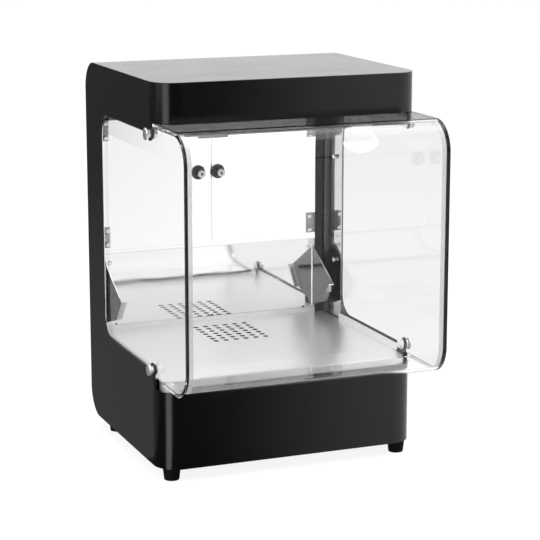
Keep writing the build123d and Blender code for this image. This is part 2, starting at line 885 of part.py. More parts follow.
def knob_screw(side):
    """The knob's screw, with a domed plastic head on the inside of the door."""
    head_face = Plane(origin=(side * knob_offset, door_inner_y, knob_z), x_dir=(1, 0, 0), z_dir=(0, -1, 0))
    with BuildPart() as screw:
        with BuildSketch(head_face):
            Circle(screw_cap_radius)
        extrude(amount=screw_cap_thickness)
        fillet(screw.faces().sort_by(Axis.Y)[0].edges(), screw_cap_edge_radius)
        with BuildSketch(head_face.offset(screw_cap_thickness)):
            Circle(screw_socket_radius)
        extrude(amount=-screw_socket_depth, mode=Mode.SUBTRACT)
        with BuildSketch(head_face):
            Circle(knob_screw_radius)
        extrude(amount=-(door_thickness + knob_screw_depth))
    return screw


def knuckle_bands(frame):
    """The height bands of one hinge's knuckles, from its middle: two for the frame, one for the door."""
    third = hinge_height / 6
    if frame:
        return [
            (-hinge_height / 2, -third - hinge_knuckle_gap / 2),
            (third + hinge_knuckle_gap / 2, hinge_height / 2),
        ]
    return [(-third + hinge_knuckle_gap / 2, third - hinge_knuckle_gap / 2)]


def door_hinge_leaves(side):
    """The two hinge leaves on a door. A tongue joins each leaf to its middle knuckle."""
    leaf_edges = sorted((side * (door_leaf_outer_x - hinge_door_leaf_width), side * door_leaf_outer_x))
    tongue_edges = sorted((side * door_leaf_outer_x, side * hinge_pin_x))
    with BuildPart() as leaves:
        for z in (hinge_low_z, hinge_high_z):
            with BuildSketch(facing_front(door_outer_y + hinge_leaf)):
                rectangle(*leaf_edges, z - hinge_height / 2, z + hinge_height / 2)
                for low, high in knuckle_bands(frame=False):
                    rectangle(*tongue_edges, z + low, z + high)
            extrude(amount=hinge_leaf)
            for low, high in knuckle_bands(frame=False):
                with BuildSketch(level(z + low)):
                    with Locations((side * hinge_pin_x, hinge_pin_y)):
                        Circle(hinge_knuckle_radius)
                extrude(amount=high - low)
                with BuildSketch(level(z + low)):
                    with Locations((side * hinge_pin_x, hinge_pin_y)):
                        Circle(hinge_pin_radius + hinge_running_clearance)
                extrude(amount=high - low, mode=Mode.SUBTRACT)
        with BuildSketch(facing_front(door_outer_y + hinge_leaf)):
            with Locations(*hinge_screw_places(side * door_screw_x)):
                Circle(small_screw_radius + small_screw_clearance)
        extrude(amount=hinge_leaf, mode=Mode.SUBTRACT)
    return leaves


def frame_hinge_leaves(side):
    """The two angled leaves on a post. A web carries the outer knuckles over the rear flange."""
    base_edges = sorted((side * frame_leaf_inner_x, side * (frame_leaf_inner_x + hinge_frame_leaf_width)))
    web_edges = sorted((side * frame_leaf_inner_x, side * (frame_leaf_inner_x + hinge_leaf)))
    with BuildPart() as leaves:
        for z in (hinge_low_z, hinge_high_z):
            with BuildSketch(facing_front(frame_rear_y + hinge_leaf)):
                rectangle(*base_edges, z - hinge_height / 2, z + hinge_height / 2)
            extrude(amount=hinge_leaf)
            for low, high in knuckle_bands(frame=True):
                with BuildSketch(level(z + low)):
                    rectangle(*web_edges, frame_rear_y, hinge_pin_y)
                    with Locations((side * hinge_pin_x, hinge_pin_y)):
                        Circle(hinge_knuckle_radius)
                        Circle(hinge_pin_radius, mode=Mode.SUBTRACT)
                extrude(amount=high - low)
        with BuildSketch(facing_front(frame_rear_y + hinge_leaf)):
            with Locations(*hinge_screw_places(side * frame_screw_x)):
                Circle(small_screw_radius)
        extrude(amount=hinge_leaf, mode=Mode.SUBTRACT)
    return leaves


def door_hinge_screws(side):
    """The screws through a door and its leaves: head inside, nut outside."""
    with BuildPart() as screws:
        for x, z in hinge_screw_places(side * door_screw_x):
            inside = Plane(origin=(x, door_inner_y, z), x_dir=(1, 0, 0), z_dir=(0, -1, 0))
            nut_seat = inside.offset(-(door_thickness + hinge_leaf))
            with BuildSketch(inside):
                Circle(small_head_radius)
            extrude(amount=small_head_height)
            with BuildSketch(inside):
                Circle(small_screw_radius)
            extrude(amount=-(door_thickness + hinge_leaf))
            with BuildSketch(nut_seat):
                RegularPolygon(small_nut_radius, 6)
            extrude(amount=-small_nut_height)
        heads = screws.faces().filter_by(GeomType.PLANE).filter_by(Axis.Y).group_by(Axis.Y)[0]
        fillet(heads.edges(), small_head_edge_radius)
    return screws


strike_x = door_middle_gap / 2 + strike_margin + strike_radius
strike_z = header_bottom_z - strike_margin - strike_radius


def strike_plate(side):
    """A steel disc on the inside of a door, for the magnet."""
    with BuildPart() as strike:
        with BuildSketch(facing_front(door_inner_y)):
            with Locations((side * strike_x, strike_z)):
                Circle(strike_radius)
        extrude(amount=strike_thickness)
    return strike


for name, side in SIDES.items():
    finish(rear_door(side), f"{name}_rear_door")
    finish(door_knob(side), f"{name}_door_knob")
    finish(knob_screw(side), f"{name}_knob_screw")
    finish(door_hinge_leaves(side), f"{name}_door_hinge_leaves")
    finish(frame_hinge_leaves(side), f"{name}_frame_hinge_leaves")
    finish(door_hinge_screws(side), f"{name}_door_hinge_screws")
    finish(strike_plate(side), f"{name}_door_strike")

# The pins are fixed in the outer knuckles, and each door turns on its two.
with BuildPart() as hinge_pins:
    for z in (hinge_low_z, hinge_high_z):
        with BuildSketch(level(z - hinge_height / 2)):
            with Locations((-hinge_pin_x, hinge_pin_y), (hinge_pin_x, hinge_pin_y)):
                Circle(hinge_pin_radius)
        extrude(amount=hinge_height)
finish(hinge_pins, "hinge_pins")

with BuildPart() as frame_hinge_screws:
    for side in SIDES.values():
        for x, z in hinge_screw_places(side * frame_screw_x):
            leaf_face = Plane(
                origin=(x, frame_rear_y + hinge_leaf, z), x_dir=(1, 0, 0), z_dir=(0, 1, 0)
            )
            with BuildSketch(leaf_face):
                Circle(small_head_radius)
            extrude(amount=small_head_height)
            with BuildSketch(leaf_face):
                Circle(small_screw_radius)
            extrude(amount=-(hinge_leaf + shell_sheet))
finish(frame_hinge_screws, "frame_hinge_screws")

# The magnet block hangs from the header, just inside the tops of the doors.
with BuildPart() as door_catch:
    catch_rear_y = door_inner_y - strike_thickness - catch_gap
    catch_front_y = catch_rear_y - catch_depth
    with BuildSketch(level(header_bottom_z)) as catch_plan:
        rectangle(-catch_width / 2, catch_width / 2, catch_front_y, catch_rear_y)
        fillet(catch_plan.vertices(), catch_corner_radius)
    extrude(amount=-catch_height)
finish(door_catch, "door_catch")

# ---------------------------------------------------------------------------
# Rear flap
# ---------------------------------------------------------------------------


def on_cheek(radius, angle):
    """A point of a cheek, as (y, z): its distance from the rod, and its angle forward of upright."""
    return (flap_axis_y - radius * sin(radians(angle)), flap_axis_z + radius * cos(radians(angle)))


cheek_top = (flap_inner_y, flap_axis_z + flap_cheek_radius)
cheek_front = on_cheek(flap_cheek_radius, flap_cheek_angle)
cheek_heel = on_cheek(flap_heel_radius, flap_heel_angle)
cheek_low = on_cheek(flap_toe_radius, flap_toe_angle)
cheek_toe = (flap_inner_y, flap_axis_z + hem_radius + seat_gap)
flap_rivet_places = [
    (side * (cheek_outer_x - flap_rivet_inset), flap_top_z - flap_rivet_drop) for side in SIDES.values()
]

# The flap is one folded sheet: a panel with a grip lip, two end cheeks with folded edges, and a rolled hem.
with BuildPart() as rear_flap:
    with BuildSketch(facing_front(flap_outer_y)):
        rectangle(-flap_half_width, flap_half_width, flap_axis_z, flap_top_z)
    extrude(amount=flap_sheet)
    with BuildSketch(facing_right(-flap_half_width + flap_lip_inset)):
        rectangle(flap_inner_y, flap_outer_y + flap_lip_depth, flap_top_z - flap_sheet, flap_top_z)
    extrude(amount=2 * (flap_half_width - flap_lip_inset))
    for side in SIDES.values():
        cheek_edges = sorted((side * cheek_outer_x, side * (cheek_outer_x - flap_sheet)))
        with BuildSketch(facing_right(cheek_edges[0])):
            with BuildLine():
                Polyline(cheek_top, cheek_front, cheek_heel, cheek_low, cheek_toe, close=True)
            make_face()
        extrude(amount=flap_sheet)
        fold_edges = sorted((side * cheek_outer_x, side * (cheek_outer_x - flap_cheek_fold)))
        with BuildSketch(facing_right(fold_edges[0])):
            with BuildLine():
                Line(cheek_front, cheek_heel)
                offset(amount=flap_sheet, side=Side.LEFT)
            make_face()
        extrude(amount=flap_cheek_fold)
    # The cheeks meet the panel in a round corner.
    uprights = rear_flap.edges().filter_by(Axis.Z)
    panel_edges = uprights.filter_by_position(Axis.Y, flap_inner_y, flap_inner_y)
    cheek_middle_x = cheek_outer_x - flap_sheet / 2
    cheek_corners = panel_edges.filter_by(lambda edge: abs(edge.center().X) < cheek_middle_x)
    fillet(cheek_corners, flap_cheek_bend_radius)
    with BuildSketch(facing_right(-cheek_outer_x)):
        with Locations((flap_axis_y, flap_axis_z)):
            Circle(hem_radius)
    extrude(amount=2 * cheek_outer_x)
    with BuildSketch(facing_right(-flap_half_width)):
        with Locations((flap_axis_y, flap_axis_z)):
            Circle(flap_rod_radius + hinge_running_clearance)
    extrude(amount=2 * flap_half_width, mode=Mode.SUBTRACT)
    # The hem is cut away round each lug.
    with BuildSketch(level(flap_axis_z - hem_radius)):
        for x in lug_places_x:
            half_slot = flap_lug_thickness / 2 + flap_lug_gap
            rectangle(x - half_slot, x + half_slot, flap_inner_y - flap_sheet, flap_axis_y + hem_radius)
    extrude(amount=2 * hem_radius, mode=Mode.SUBTRACT)
    with BuildSketch(facing_front(flap_outer_y)):
        with Locations(*flap_rivet_places):
            Circle(flap_rivet_radius)
    extrude(amount=flap_sheet, mode=Mode.SUBTRACT)
finish(rear_flap, "rear_flap")

with BuildPart() as flap_rivets:
    for x, z in flap_rivet_places:
        shank_end = Plane(origin=(x, flap_outer_y, z), x_dir=(1, 0, 0), z_dir=(0, -1, 0))
        with BuildSketch(shank_end):
            Circle(flap_rivet_radius)
        extrude(amount=flap_sheet)
        with BuildSketch(shank_end.offset(flap_sheet)):
            Circle(flap_rivet_head_radius)
        extrude(amount=flap_rivet_head_height)
    heads = flap_rivets.faces().filter_by(GeomType.PLANE).filter_by(Axis.Y).group_by(Axis.Y)[0]
    fillet(heads.edges(), flap_rivet_edge_radius)
finish(flap_rivets, "flap_rivets")

with BuildPart() as flap_rod:
    with BuildSketch(facing_right(-cheek_outer_x)):
        with Locations((flap_axis_y, flap_axis_z)):
            Circle(flap_rod_radius)
    extrude(amount=2 * cheek_outer_x)
finish(flap_rod, "flap_rod")

# ---------------------------------------------------------------------------
# Lamp
# ---------------------------------------------------------------------------

bulb_widest_z = bulb_bottom_z + bulb_face_height
bulb_neck_z = bulb_widest_z + bulb_cone_height
bulb_cap_z = bulb_neck_z + bulb_neck_length
holder_bottom_z = bulb_cap_z
lamp_axis = Plane(origin=(lamp_x, lamp_y, 0), x_dir=(1, 0, 0), z_dir=(0, -1, 0))

with BuildPart() as lamp_bulb:
    with BuildSketch(lamp_axis):
        with BuildLine():
            face = TangentArc((0, bulb_bottom_z), (bulb_radius, bulb_widest_z), tangent=(1, 0))
            cone = Spline(
                face @ 1,
                (bulb_neck_radius, bulb_neck_z),
                tangents=[(0, 1), (0, 1)],
            )
            Polyline(
                cone @ 1,
                (bulb_neck_radius, bulb_cap_z),
                (bulb_cap_radius, bulb_cap_z),
                (bulb_cap_radius, bulb_cap_z + bulb_cap_length),
                (0, bulb_cap_z + bulb_cap_length),
                (0, bulb_bottom_z),
            )
        make_face()
    revolve(axis=Axis((lamp_x, lamp_y, 0), (0, 0, 1)))
finish(lamp_bulb, "lamp_bulb")

# The holder passes through the ceiling and has a round crown.
with BuildPart() as lamp_holder:
    with BuildSketch(level(holder_bottom_z)):
        with Locations((lamp_x, lamp_y)):
            Circle(lamp_holder_radius)
    extrude(amount=lamp_holder_length)
    fillet(lamp_holder.faces().sort_by(Axis.Z)[-1].edges(), lamp_holder_crown_radius)
    with BuildSketch(level(holder_bottom_z)):
        with Locations((lamp_x, lamp_y)):
            Circle(bulb_cap_radius)
    extrude(amount=bulb_cap_length, mode=Mode.SUBTRACT)
finish(lamp_holder, "lamp_holder")

with BuildPart() as lamp_collar:
    with BuildSketch(level(fascia_bottom_z)):
        with Locations((lamp_x, lamp_y)):
            Circle(lamp_holder_radius + lamp_collar_width)
            Circle(lamp_holder_radius, mode=Mode.SUBTRACT)
    extrude(amount=-lamp_collar_thickness)
    outer_rims = lamp_collar.edges().filter_by(GeomType.CIRCLE).group_by(SortBy.RADIUS)[-1]
    chamfer(outer_rims.sort_by(Axis.Z)[0], lamp_collar_chamfer)
finish(lamp_collar, "lamp_collar")

# ---------------------------------------------------------------------------
# Heater and fan
# ---------------------------------------------------------------------------

duct_top_z = base_top_z - shell_sheet
duct_bottom_z = duct_top_z - duct_height
heater_z = duct_bottom_z + duct_height / 2
heater_wall_x = duct_width / 2 + duct_sheet
fan_bottom_z = duct_bottom_z - fan_thickness
# The rod crosses the duct four times, in rows spaced about the middle of the fan.
heater_rows_y = [vent_y + row * heater_pitch for row in (-1.5, -0.5, 0.5, 1.5)]
heater_ends_y = (heater_rows_y[0], heater_rows_y[-1])

# The duct is an open box under the ledge, flanged at the top, with the fan's hole in its floor.
with BuildPart() as heater_duct:
    with BuildSketch(level(duct_bottom_z)):
        with Locations((0, vent_y)):
            Rectangle(duct_width + 2 * duct_sheet, duct_length + 2 * duct_sheet)
    extrude(amount=duct_height)
    with BuildSketch(level(duct_top_z)):
        with Locations((0, vent_y)):
            Rectangle(duct_width + 2 * duct_flange, duct_length + 2 * duct_flange)
    extrude(amount=-duct_sheet)
    with BuildSketch(level(duct_bottom_z + duct_sheet)):
        with Locations((0, vent_y)):
            Rectangle(duct_width, duct_length)
    extrude(amount=duct_height, mode=Mode.SUBTRACT)
    with BuildSketch(level(duct_bottom_z)):
        with Locations((0, vent_y)):
            Circle(fan_bore_radius)
            with GridLocations(fan_hole_pitch, fan_hole_pitch, 2, 2):
                Circle(fan_hole_radius)
    extrude(amount=duct_sheet, mode=Mode.SUBTRACT)
    with BuildSketch(facing_right(heater_wall_x - duct_sheet)):
        with Locations(*[(y, heater_z) for y in heater_ends_y]):
            Circle(heater_rod_radius + heater_bush_spigot)
    extrude(amount=duct_sheet, mode=Mode.SUBTRACT)
finish(heater_duct, "heater_duct")

# A sheathed rod in three turns, with both ends out through one wall.
with BuildPart() as heater_element:
    turn_x = duct_width / 2 - 2 * heater_rod_radius - heater_pitch / 2
    end_x = heater_wall_x + heater_tail
    rows_y = heater_rows_y
    with BuildLine(level(heater_z)) as rod_path:
        FilletPolyline(
            (end_x, rows_y[0]),
            (-turn_x, rows_y[0]),
            (-turn_x, rows_y[1]),
            (turn_x, rows_y[1]),
            (turn_x, rows_y[2]),
            (-turn_x, rows_y[2]),
            (-turn_x, rows_y[3]),
            (end_x, rows_y[3]),
            radius=heater_bend_radius,
        )
    with BuildSketch(Plane(origin=(end_x, rows_y[0], heater_z), z_dir=(-1, 0, 0))):
        Circle(heater_rod_radius)
    sweep(path=rod_path.wires()[0])
finish(heater_element, "heater_element")

with BuildPart() as heater_bushes:
    for y in heater_ends_y:
        for radius, start, length in (
            (heater_bush_radius, 0, heater_bush_length),
            (heater_rod_radius + heater_bush_spigot, -duct_sheet, duct_sheet),
        ):
            with BuildSketch(Plane.YZ.offset(heater_wall_x + start)):
                with Locations((y, heater_z)):
                    Circle(radius)
                    Circle(heater_rod_radius, mode=Mode.SUBTRACT)
            extrude(amount=length)
finish(heater_bushes, "heater_bushes")

rotor_bottom_z = fan_bottom_z + fan_hub_plate + fan_tip_clearance
rotor_height = fan_thickness - fan_hub_plate - 2 * fan_tip_clearance
fan_corners = [
    (x * fan_hole_pitch / 2, vent_y + y * fan_hole_pitch / 2) for x in (-1, 1) for y in (-1, 1)
]

# A square axial fan. Four arms carry the motor plate and the shaft across its lower side.
with BuildPart() as fan_frame:
    with BuildSketch(level(fan_bottom_z)):
        with Locations((0, vent_y)):
            RectangleRounded(fan_size, fan_size, (fan_size - fan_hole_pitch) / 2)
            Circle(fan_bore_radius, mode=Mode.SUBTRACT)
        with Locations(*fan_corners):
            Circle(fan_hole_radius, mode=Mode.SUBTRACT)
    extrude(amount=fan_thickness)
    with BuildSketch(level(fan_bottom_z)):
        with Locations((0, vent_y)):
            Circle(fan_hub_radius)
            Rectangle(fan_size, fan_arm_width)
            Rectangle(fan_arm_width, fan_size)
    extrude(amount=fan_hub_plate)
    with BuildSketch(level(fan_bottom_z + fan_hub_plate)):
        with Locations((0, vent_y)):
            Circle(fan_shaft_radius)
    extrude(amount=rotor_height)
finish(fan_frame, "fan_frame")


def fan_blade(turn):
    """One twisted blade, from inside the hub to past its tip, turned about the shaft."""
    with BuildPart() as blade:
        for radius, pitch in (
            (fan_hub_radius - fan_blade_thickness, fan_blade_root_pitch),
            (fan_bore_radius, fan_blade_tip_pitch),
        ):
            chord = (rotor_height - fan_blade_thickness) / sin(radians(pitch))
            across = Plane(
                origin=(radius, vent_y, rotor_bottom_z + rotor_height / 2), x_dir=(0, 1, 0), z_dir=(1, 0, 0)
            )
            with BuildSketch(across):
                Rectangle(chord, fan_blade_thickness, rotation=pitch)
        loft()
    return blade.part.rotate(Axis((0, vent_y, 0), (0, 0, 1)), turn)


# The hub runs on the motor's shaft, and the blades are trimmed to clear the frame's bore.
with BuildPart() as fan_rotor:
    with BuildSketch(level(rotor_bottom_z)):
        with Locations((0, vent_y)):
            Circle(fan_hub_radius)
    extrude(amount=rotor_height)
    for number in range(fan_blades):
        add(fan_blade(number * 360 / fan_blades))
    with BuildSketch(level(rotor_bottom_z)):
        with Locations((0, vent_y)):
            Circle(fan_bore_radius - fan_tip_clearance)
    extrude(amount=rotor_height, mode=Mode.INTERSECT)
    with BuildSketch(level(rotor_bottom_z)):
        with Locations((0, vent_y)):
            Circle(fan_shaft_radius + fan_running_clearance)
    extrude(amount=rotor_height, mode=Mode.SUBTRACT)
finish(fan_rotor, "fan_rotor")

# Four screws hold the fan under the duct: heads below, nuts inside the duct.
with BuildPart() as fan_screws:
    fan_shank_radius = fan_hole_radius - small_screw_clearance
    for x, y in fan_corners:
        with BuildSketch(level(fan_bottom_z)):
            with Locations((x, y)):
                Circle(fan_screw_head_radius)
        extrude(amount=-fan_screw_head_height)
        with BuildSketch(level(fan_bottom_z)):
            with Locations((x, y)):
                Circle(fan_shank_radius)
        extrude(amount=fan_thickness + duct_sheet)
        with BuildSketch(level(duct_bottom_z + duct_sheet)):
            with Locations((x, y)):
                RegularPolygon(fan_nut_radius, 6)
        extrude(amount=fan_nut_height)
finish(fan_screws, "fan_screws")

# A round thermostat on a strap, on the duct's wall.
thermostat_face = Plane(origin=(-heater_wall_x, vent_y, heater_z), x_dir=(0, 1, 0), z_dir=(-1, 0, 0))
with BuildPart() as overheat_thermostat:
    with BuildSketch(thermostat_face):
        SlotOverall(thermostat_plate_length, thermostat_plate_width)
    extrude(amount=duct_sheet)
    with BuildSketch(thermostat_face):
        Circle(thermostat_radius)
    extrude(amount=thermostat_thickness)
    fillet(overheat_thermostat.faces().sort_by(Axis.X)[0].edges(), thermostat_edge_radius)
    with BuildSketch(thermostat_face):
        with GridLocations(thermostat_blade_spacing, 0, 2, 1):
            Rectangle(duct_sheet, thermostat_blade_width)
    extrude(amount=thermostat_thickness + thermostat_blade_length)
finish(overheat_thermostat, "overheat_thermostat")

# The mains terminals stand on the bottom plate beside the fan.
terminal_x = -half_width + terminal_side_inset
terminal_y = vent_y - terminal_from_vents
terminal_bottom_z = body_bottom_z + shell_sheet
with BuildPart() as terminal_block:
    with BuildSketch(level(terminal_bottom_z)):
        with Locations((terminal_x, terminal_y)):
            Rectangle(terminal_width, (terminal_ways + 1) * terminal_pitch)
    extrude(amount=terminal_base_height)
    with BuildSketch(level(terminal_bottom_z)):
        with Locations((terminal_x, terminal_y)):
            Rectangle(terminal_width - terminal_well_radius, terminal_ways * terminal_pitch)
    extrude(amount=terminal_height)
    with BuildSketch(level(terminal_bottom_z + terminal_height)):
        with Locations((terminal_x, terminal_y)):
            with GridLocations(terminal_width / 2, terminal_pitch, 2, terminal_ways):
                Circle(terminal_well_radius)
    extrude(amount=-terminal_well_depth, mode=Mode.SUBTRACT)
finish(terminal_block, "terminal_block")

# ---------------------------------------------------------------------------
# Switches and gland
# ---------------------------------------------------------------------------

rocker_pivot_y = body_rear_y - rocker_pivot_depth
rocker_width = switch_well_width - 2 * rocker_side_gap
pivot_length = rocker_width + 2 * rocker_pivot_length


def facing_rear(y, x=0, z=0):
    """The upright plane at y, seen from the rear. Extruding moves away from the cabinet."""
    return Plane(origin=(x, y, z), x_dir=(-1, 0, 0), z_dir=(0, 1, 0))


# Two snap-in housings, with a well for each rocker and blind holes for its pivots.
with BuildPart() as switch_housings:
    for x in switch_x:
        with BuildSketch(facing_rear(body_rear_y, x, switch_z)):
            RectangleRounded(switch_bezel_width, switch_bezel_height, switch_bezel_corner_radius)
        extrude(amount=switch_bezel_thickness)
        rim = switch_housings.faces().sort_by(Axis.Y)[-1].outer_wire().edges()
        chamfer(rim, switch_bezel_chamfer)
        with BuildSketch(facing_rear(body_rear_y, x, switch_z)):
            Rectangle(switch_body_width, switch_body_height)
        extrude(amount=-switch_body_depth)
        with BuildSketch(facing_rear(body_rear_y - switch_well_depth, x, switch_z)):
            Rectangle(switch_well_width, switch_well_height)
        extrude(amount=switch_well_depth + switch_bezel_thickness, mode=Mode.SUBTRACT)
        with BuildSketch(facing_right(x - pivot_length / 2 - seat_gap)):
            with Locations((rocker_pivot_y, switch_z)):
                Circle(rocker_pivot_radius + rocker_running_clearance)
        extrude(amount=pivot_length + 2 * seat_gap, mode=Mode.SUBTRACT)
finish(switch_housings, "switch_housings")


def rocker(x):
    """A rocker in its off position: the lower half is pressed in and the upper half stands out."""
    tilt = radians(rocker_tilt)
    pivot = Plane(
        origin=(x, rocker_pivot_y, switch_z), x_dir=(0, sin(tilt), cos(tilt)), z_dir=(-1, 0, 0)
    )
    end_rise = rocker_rise + rocker_length / 2 * tan(tilt)
    with BuildPart() as piece:
        with BuildSketch(pivot.offset(-rocker_width / 2)):
            with BuildLine():
                Polyline(
                    (rocker_length / 2, end_rise),
                    (0, rocker_rise),
                    (-rocker_length / 2, end_rise),
                    (-rocker_heel_length / 2, -rocker_heel_drop),
                    (-rocker_keel_length / 2, -rocker_keel_drop),
                    (rocker_keel_length / 2, -rocker_keel_drop),
                    (rocker_heel_length / 2, -rocker_heel_drop),
                    close=True,
                )
            make_face()
        extrude(amount=rocker_width)
        with BuildSketch(pivot.offset(-pivot_length / 2)):
            Circle(rocker_pivot_radius)
        extrude(amount=pivot_length)
    return piece


for name, x in zip(("lamp", "heater"), switch_x):
    finish(rocker(x), f"{name}_rocker")

gland_inner_y = base_wall_y - gland_nut_length
gland_outer_y = body_rear_y + gland_flange_length + gland_nose_length
with BuildPart() as cable_gland:
    with BuildSketch(facing_rear(gland_inner_y, gland_x, gland_z)):
        Circle(gland_thread_radius)
    extrude(amount=gland_nut_length + shell_sheet)
    with BuildSketch(facing_rear(body_rear_y, gland_x, gland_z)):
        RegularPolygon(gland_flange_radius, 6)
    extrude(amount=gland_flange_length)
    with BuildSketch(facing_rear(body_rear_y + gland_flange_length, gland_x, gland_z)):
        Circle(gland_nose_radius)
    extrude(amount=gland_nose_length)
    nose = cable_gland.faces().sort_by(Axis.Y)[-1].edges()
    fillet(nose, gland_nose_edge_radius)
    with BuildSketch(facing_rear(gland_inner_y, gland_x, gland_z)):
        Circle(gland_bore_radius)
    extrude(amount=gland_outer_y - gland_inner_y, mode=Mode.SUBTRACT)
finish(cable_gland, "cable_gland")

with BuildPart() as gland_nut:
    with BuildSketch(facing_rear(gland_inner_y, gland_x, gland_z)):
        RegularPolygon(gland_flange_radius, 6)
        Circle(gland_thread_radius, mode=Mode.SUBTRACT)
    extrude(amount=gland_nut_length)
finish(gland_nut, "gland_nut")

# ---------------------------------------------------------------------------
# Feet
# ---------------------------------------------------------------------------


def foot(x, y):
    """A tapered rubber foot on a stud, flat on the counter."""
    with BuildPart() as piece:
        with Locations((x, y, 0)):
            Cone(
                foot_bottom_radius,
                foot_top_radius,
                foot_height,
                align=(Align.CENTER, Align.CENTER, Align.MIN),
            )
        fillet(piece.faces().sort_by(Axis.Z)[0].edges(), foot_edge_radius)
        with BuildSketch(level(foot_height)):
            with Locations((x, y)):
                Circle(foot_stud_radius)
        extrude(amount=foot_stud_length)
    return piece


for name, place in zip(("front_left", "rear_left", "front_right", "rear_right"), foot_places):
    finish(foot(*place), f"{name}_foot")

with BuildPart() as foot_nuts:
    for x, y in foot_places:
        with BuildSketch(level(body_bottom_z + shell_sheet)):
            with Locations((x, y)):
                RegularPolygon(foot_nut_radius, 6)
                Circle(foot_stud_radius, mode=Mode.SUBTRACT)
        extrude(amount=foot_nut_thickness)
finish(foot_nuts, "foot_nuts")
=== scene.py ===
# %% [markdown]
# # A counter-top chip warmer
#
# The real warmer is a black sheet-steel cabinet with a clear hood that bows out in front, a
# perforated steel deck over a fan heater, a lamp in the ceiling and, at the rear, two clear doors
# above a tilting flap.
#
# Its shape could be modelled again here by hand, but then the doors and the flap would turn about
# axes that only nearly fit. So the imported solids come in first, as a fixed frame: every sheet,
# pane, hinge and screw is already there, in metres, in its place. The cells below give each of them
# a finish, add the few small things that solids leave out, and light the whole as on a plain studio
# table.

import json
import math

import bmesh
import bpy
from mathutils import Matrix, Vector


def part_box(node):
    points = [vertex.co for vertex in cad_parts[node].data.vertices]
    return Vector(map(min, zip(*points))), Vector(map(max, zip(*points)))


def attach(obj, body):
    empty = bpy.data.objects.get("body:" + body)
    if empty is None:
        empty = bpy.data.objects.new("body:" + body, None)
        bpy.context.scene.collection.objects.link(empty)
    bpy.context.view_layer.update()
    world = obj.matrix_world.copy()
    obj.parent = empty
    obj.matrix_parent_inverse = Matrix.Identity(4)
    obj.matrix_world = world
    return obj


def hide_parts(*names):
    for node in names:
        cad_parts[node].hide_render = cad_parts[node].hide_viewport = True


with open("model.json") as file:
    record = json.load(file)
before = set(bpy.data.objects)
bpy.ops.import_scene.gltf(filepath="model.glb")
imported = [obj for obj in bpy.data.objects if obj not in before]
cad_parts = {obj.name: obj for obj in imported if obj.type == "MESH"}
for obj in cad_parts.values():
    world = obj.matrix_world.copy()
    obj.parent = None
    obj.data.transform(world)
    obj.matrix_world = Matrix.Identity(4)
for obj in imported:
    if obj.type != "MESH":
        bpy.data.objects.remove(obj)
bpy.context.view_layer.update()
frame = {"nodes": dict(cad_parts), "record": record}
nodes = frame["nodes"]

# %% [markdown]
# ## The camera
#
# The warmer is seen from the left of the front, a little above its roof, so the roof is a thin band
# and the deck shows through the hood. A short lens from close by would spread the uprights like a
# fan. A long lens from further back keeps them nearly upright, which is how such goods are usually
# shown, so the lens is long.
#
# A camera looks along its own -Z axis. It therefore needs a tilt about its own X, just under 90
# degrees to look slightly down, and a heading about the world's Z.

# %% Camera
CAMERA_PLACE = (-0.9285, -2.334, 0.7907)
CAMERA_HEADING = math.radians(-22.009)
CAMERA_TILT = math.radians(90 - 12.187)
SENSOR_WIDTH = 36.0
FOCAL_PIXELS = 1887.45
VIEW_PIXELS = 540

camera_data = bpy.data.cameras.new("camera")
camera_data.sensor_width = SENSOR_WIDTH
camera_data.lens = FOCAL_PIXELS / VIEW_PIXELS * SENSOR_WIDTH
camera = bpy.data.objects.new("camera", camera_data)
camera.location = CAMERA_PLACE
camera.rotation_euler = (CAMERA_TILT, 0, CAMERA_HEADING)
bpy.context.scene.collection.objects.link(camera)
bpy.context.scene.camera = camera
bpy.context.scene.view_settings.view_transform = "Standard"
print("lens", round(camera_data.lens, 1), "mm")

# %% [markdown]
# ## Node helpers
#
# A finish is a small net of nodes. It could be drawn by hand in the shader editor, but the same few
# moves come back in every finish: place a node, give it numbers or links, do one sum, stretch one
# range onto another. Four helpers say each of these in one line, so that a finish below reads as a
# recipe and not as wiring.


# %% Node helpers
def place(tree, kind, inputs=None, **settings):
    """Add one node, set its properties, then set or link its inputs by name or number."""
    node = tree.nodes.new(kind)
    for key, value in settings.items():
        setattr(node, key, value)
    for key, value in (inputs or {}).items():
        if isinstance(value, bpy.types.NodeSocket):
            tree.links.new(value, node.inputs[key])
        else:
            node.inputs[key].default_value = value
    return node


def math_node(tree, operation, first, second=0.0, clamp=False):
    """One arithmetic step; returns its output."""
    terms = {0: first, 1: second}
    return place(tree, "ShaderNodeMath", terms, operation=operation, use_clamp=clamp).outputs[0]


def ramp(tree, value, start, end, low=0.0, high=1.0, curve="LINEAR"):
    """Stretch a range, from start to end, onto low to high, and hold it beyond both ends."""
    node = place(
        tree,
        "ShaderNodeMapRange",
        {"Value": value, "From Min": start, "From Max": end, "To Min": low, "To Max": high},
        interpolation_type=curve,
    )
    return node.outputs[0]


def ray_kinds(tree, *kinds):
    """1 for the named kinds of ray, such as Camera or Glossy, and 0 for the others."""
    path = place(tree, "ShaderNodeLightPath")
    total = 0.0
    for kind in kinds:
        total = math_node(tree, "ADD", total, path.outputs[f"Is {kind} Ray"], clamp=True)
    return total


print("helpers:", place.__name__, math_node.__name__, ramp.__name__, ray_kinds.__name__)

# %% [markdown]
# ## The sky
#
# The warmer stands in a white room. An image of a studio could be wrapped round the scene, but a
# plain colour is enough, as long as it differs by the kind of ray. Rays from the camera, a mirror
# or a clear pane meet a full white, so that steel and acrylic show a white room. Scattered light
# meets little more than half of that, so the room doesn't flood the warmer. For mirrors only, a low
# band in front is dimmed: the polished flap faces it, and would be flat white without something
# darker to mirror.

# %% Sky
SKY_LIGHT = 0.55
BAND_DEPTH = 0.92
BAND_RISE = (0.03, 0.19)
BAND_FRONT = (-0.5, 0.1)

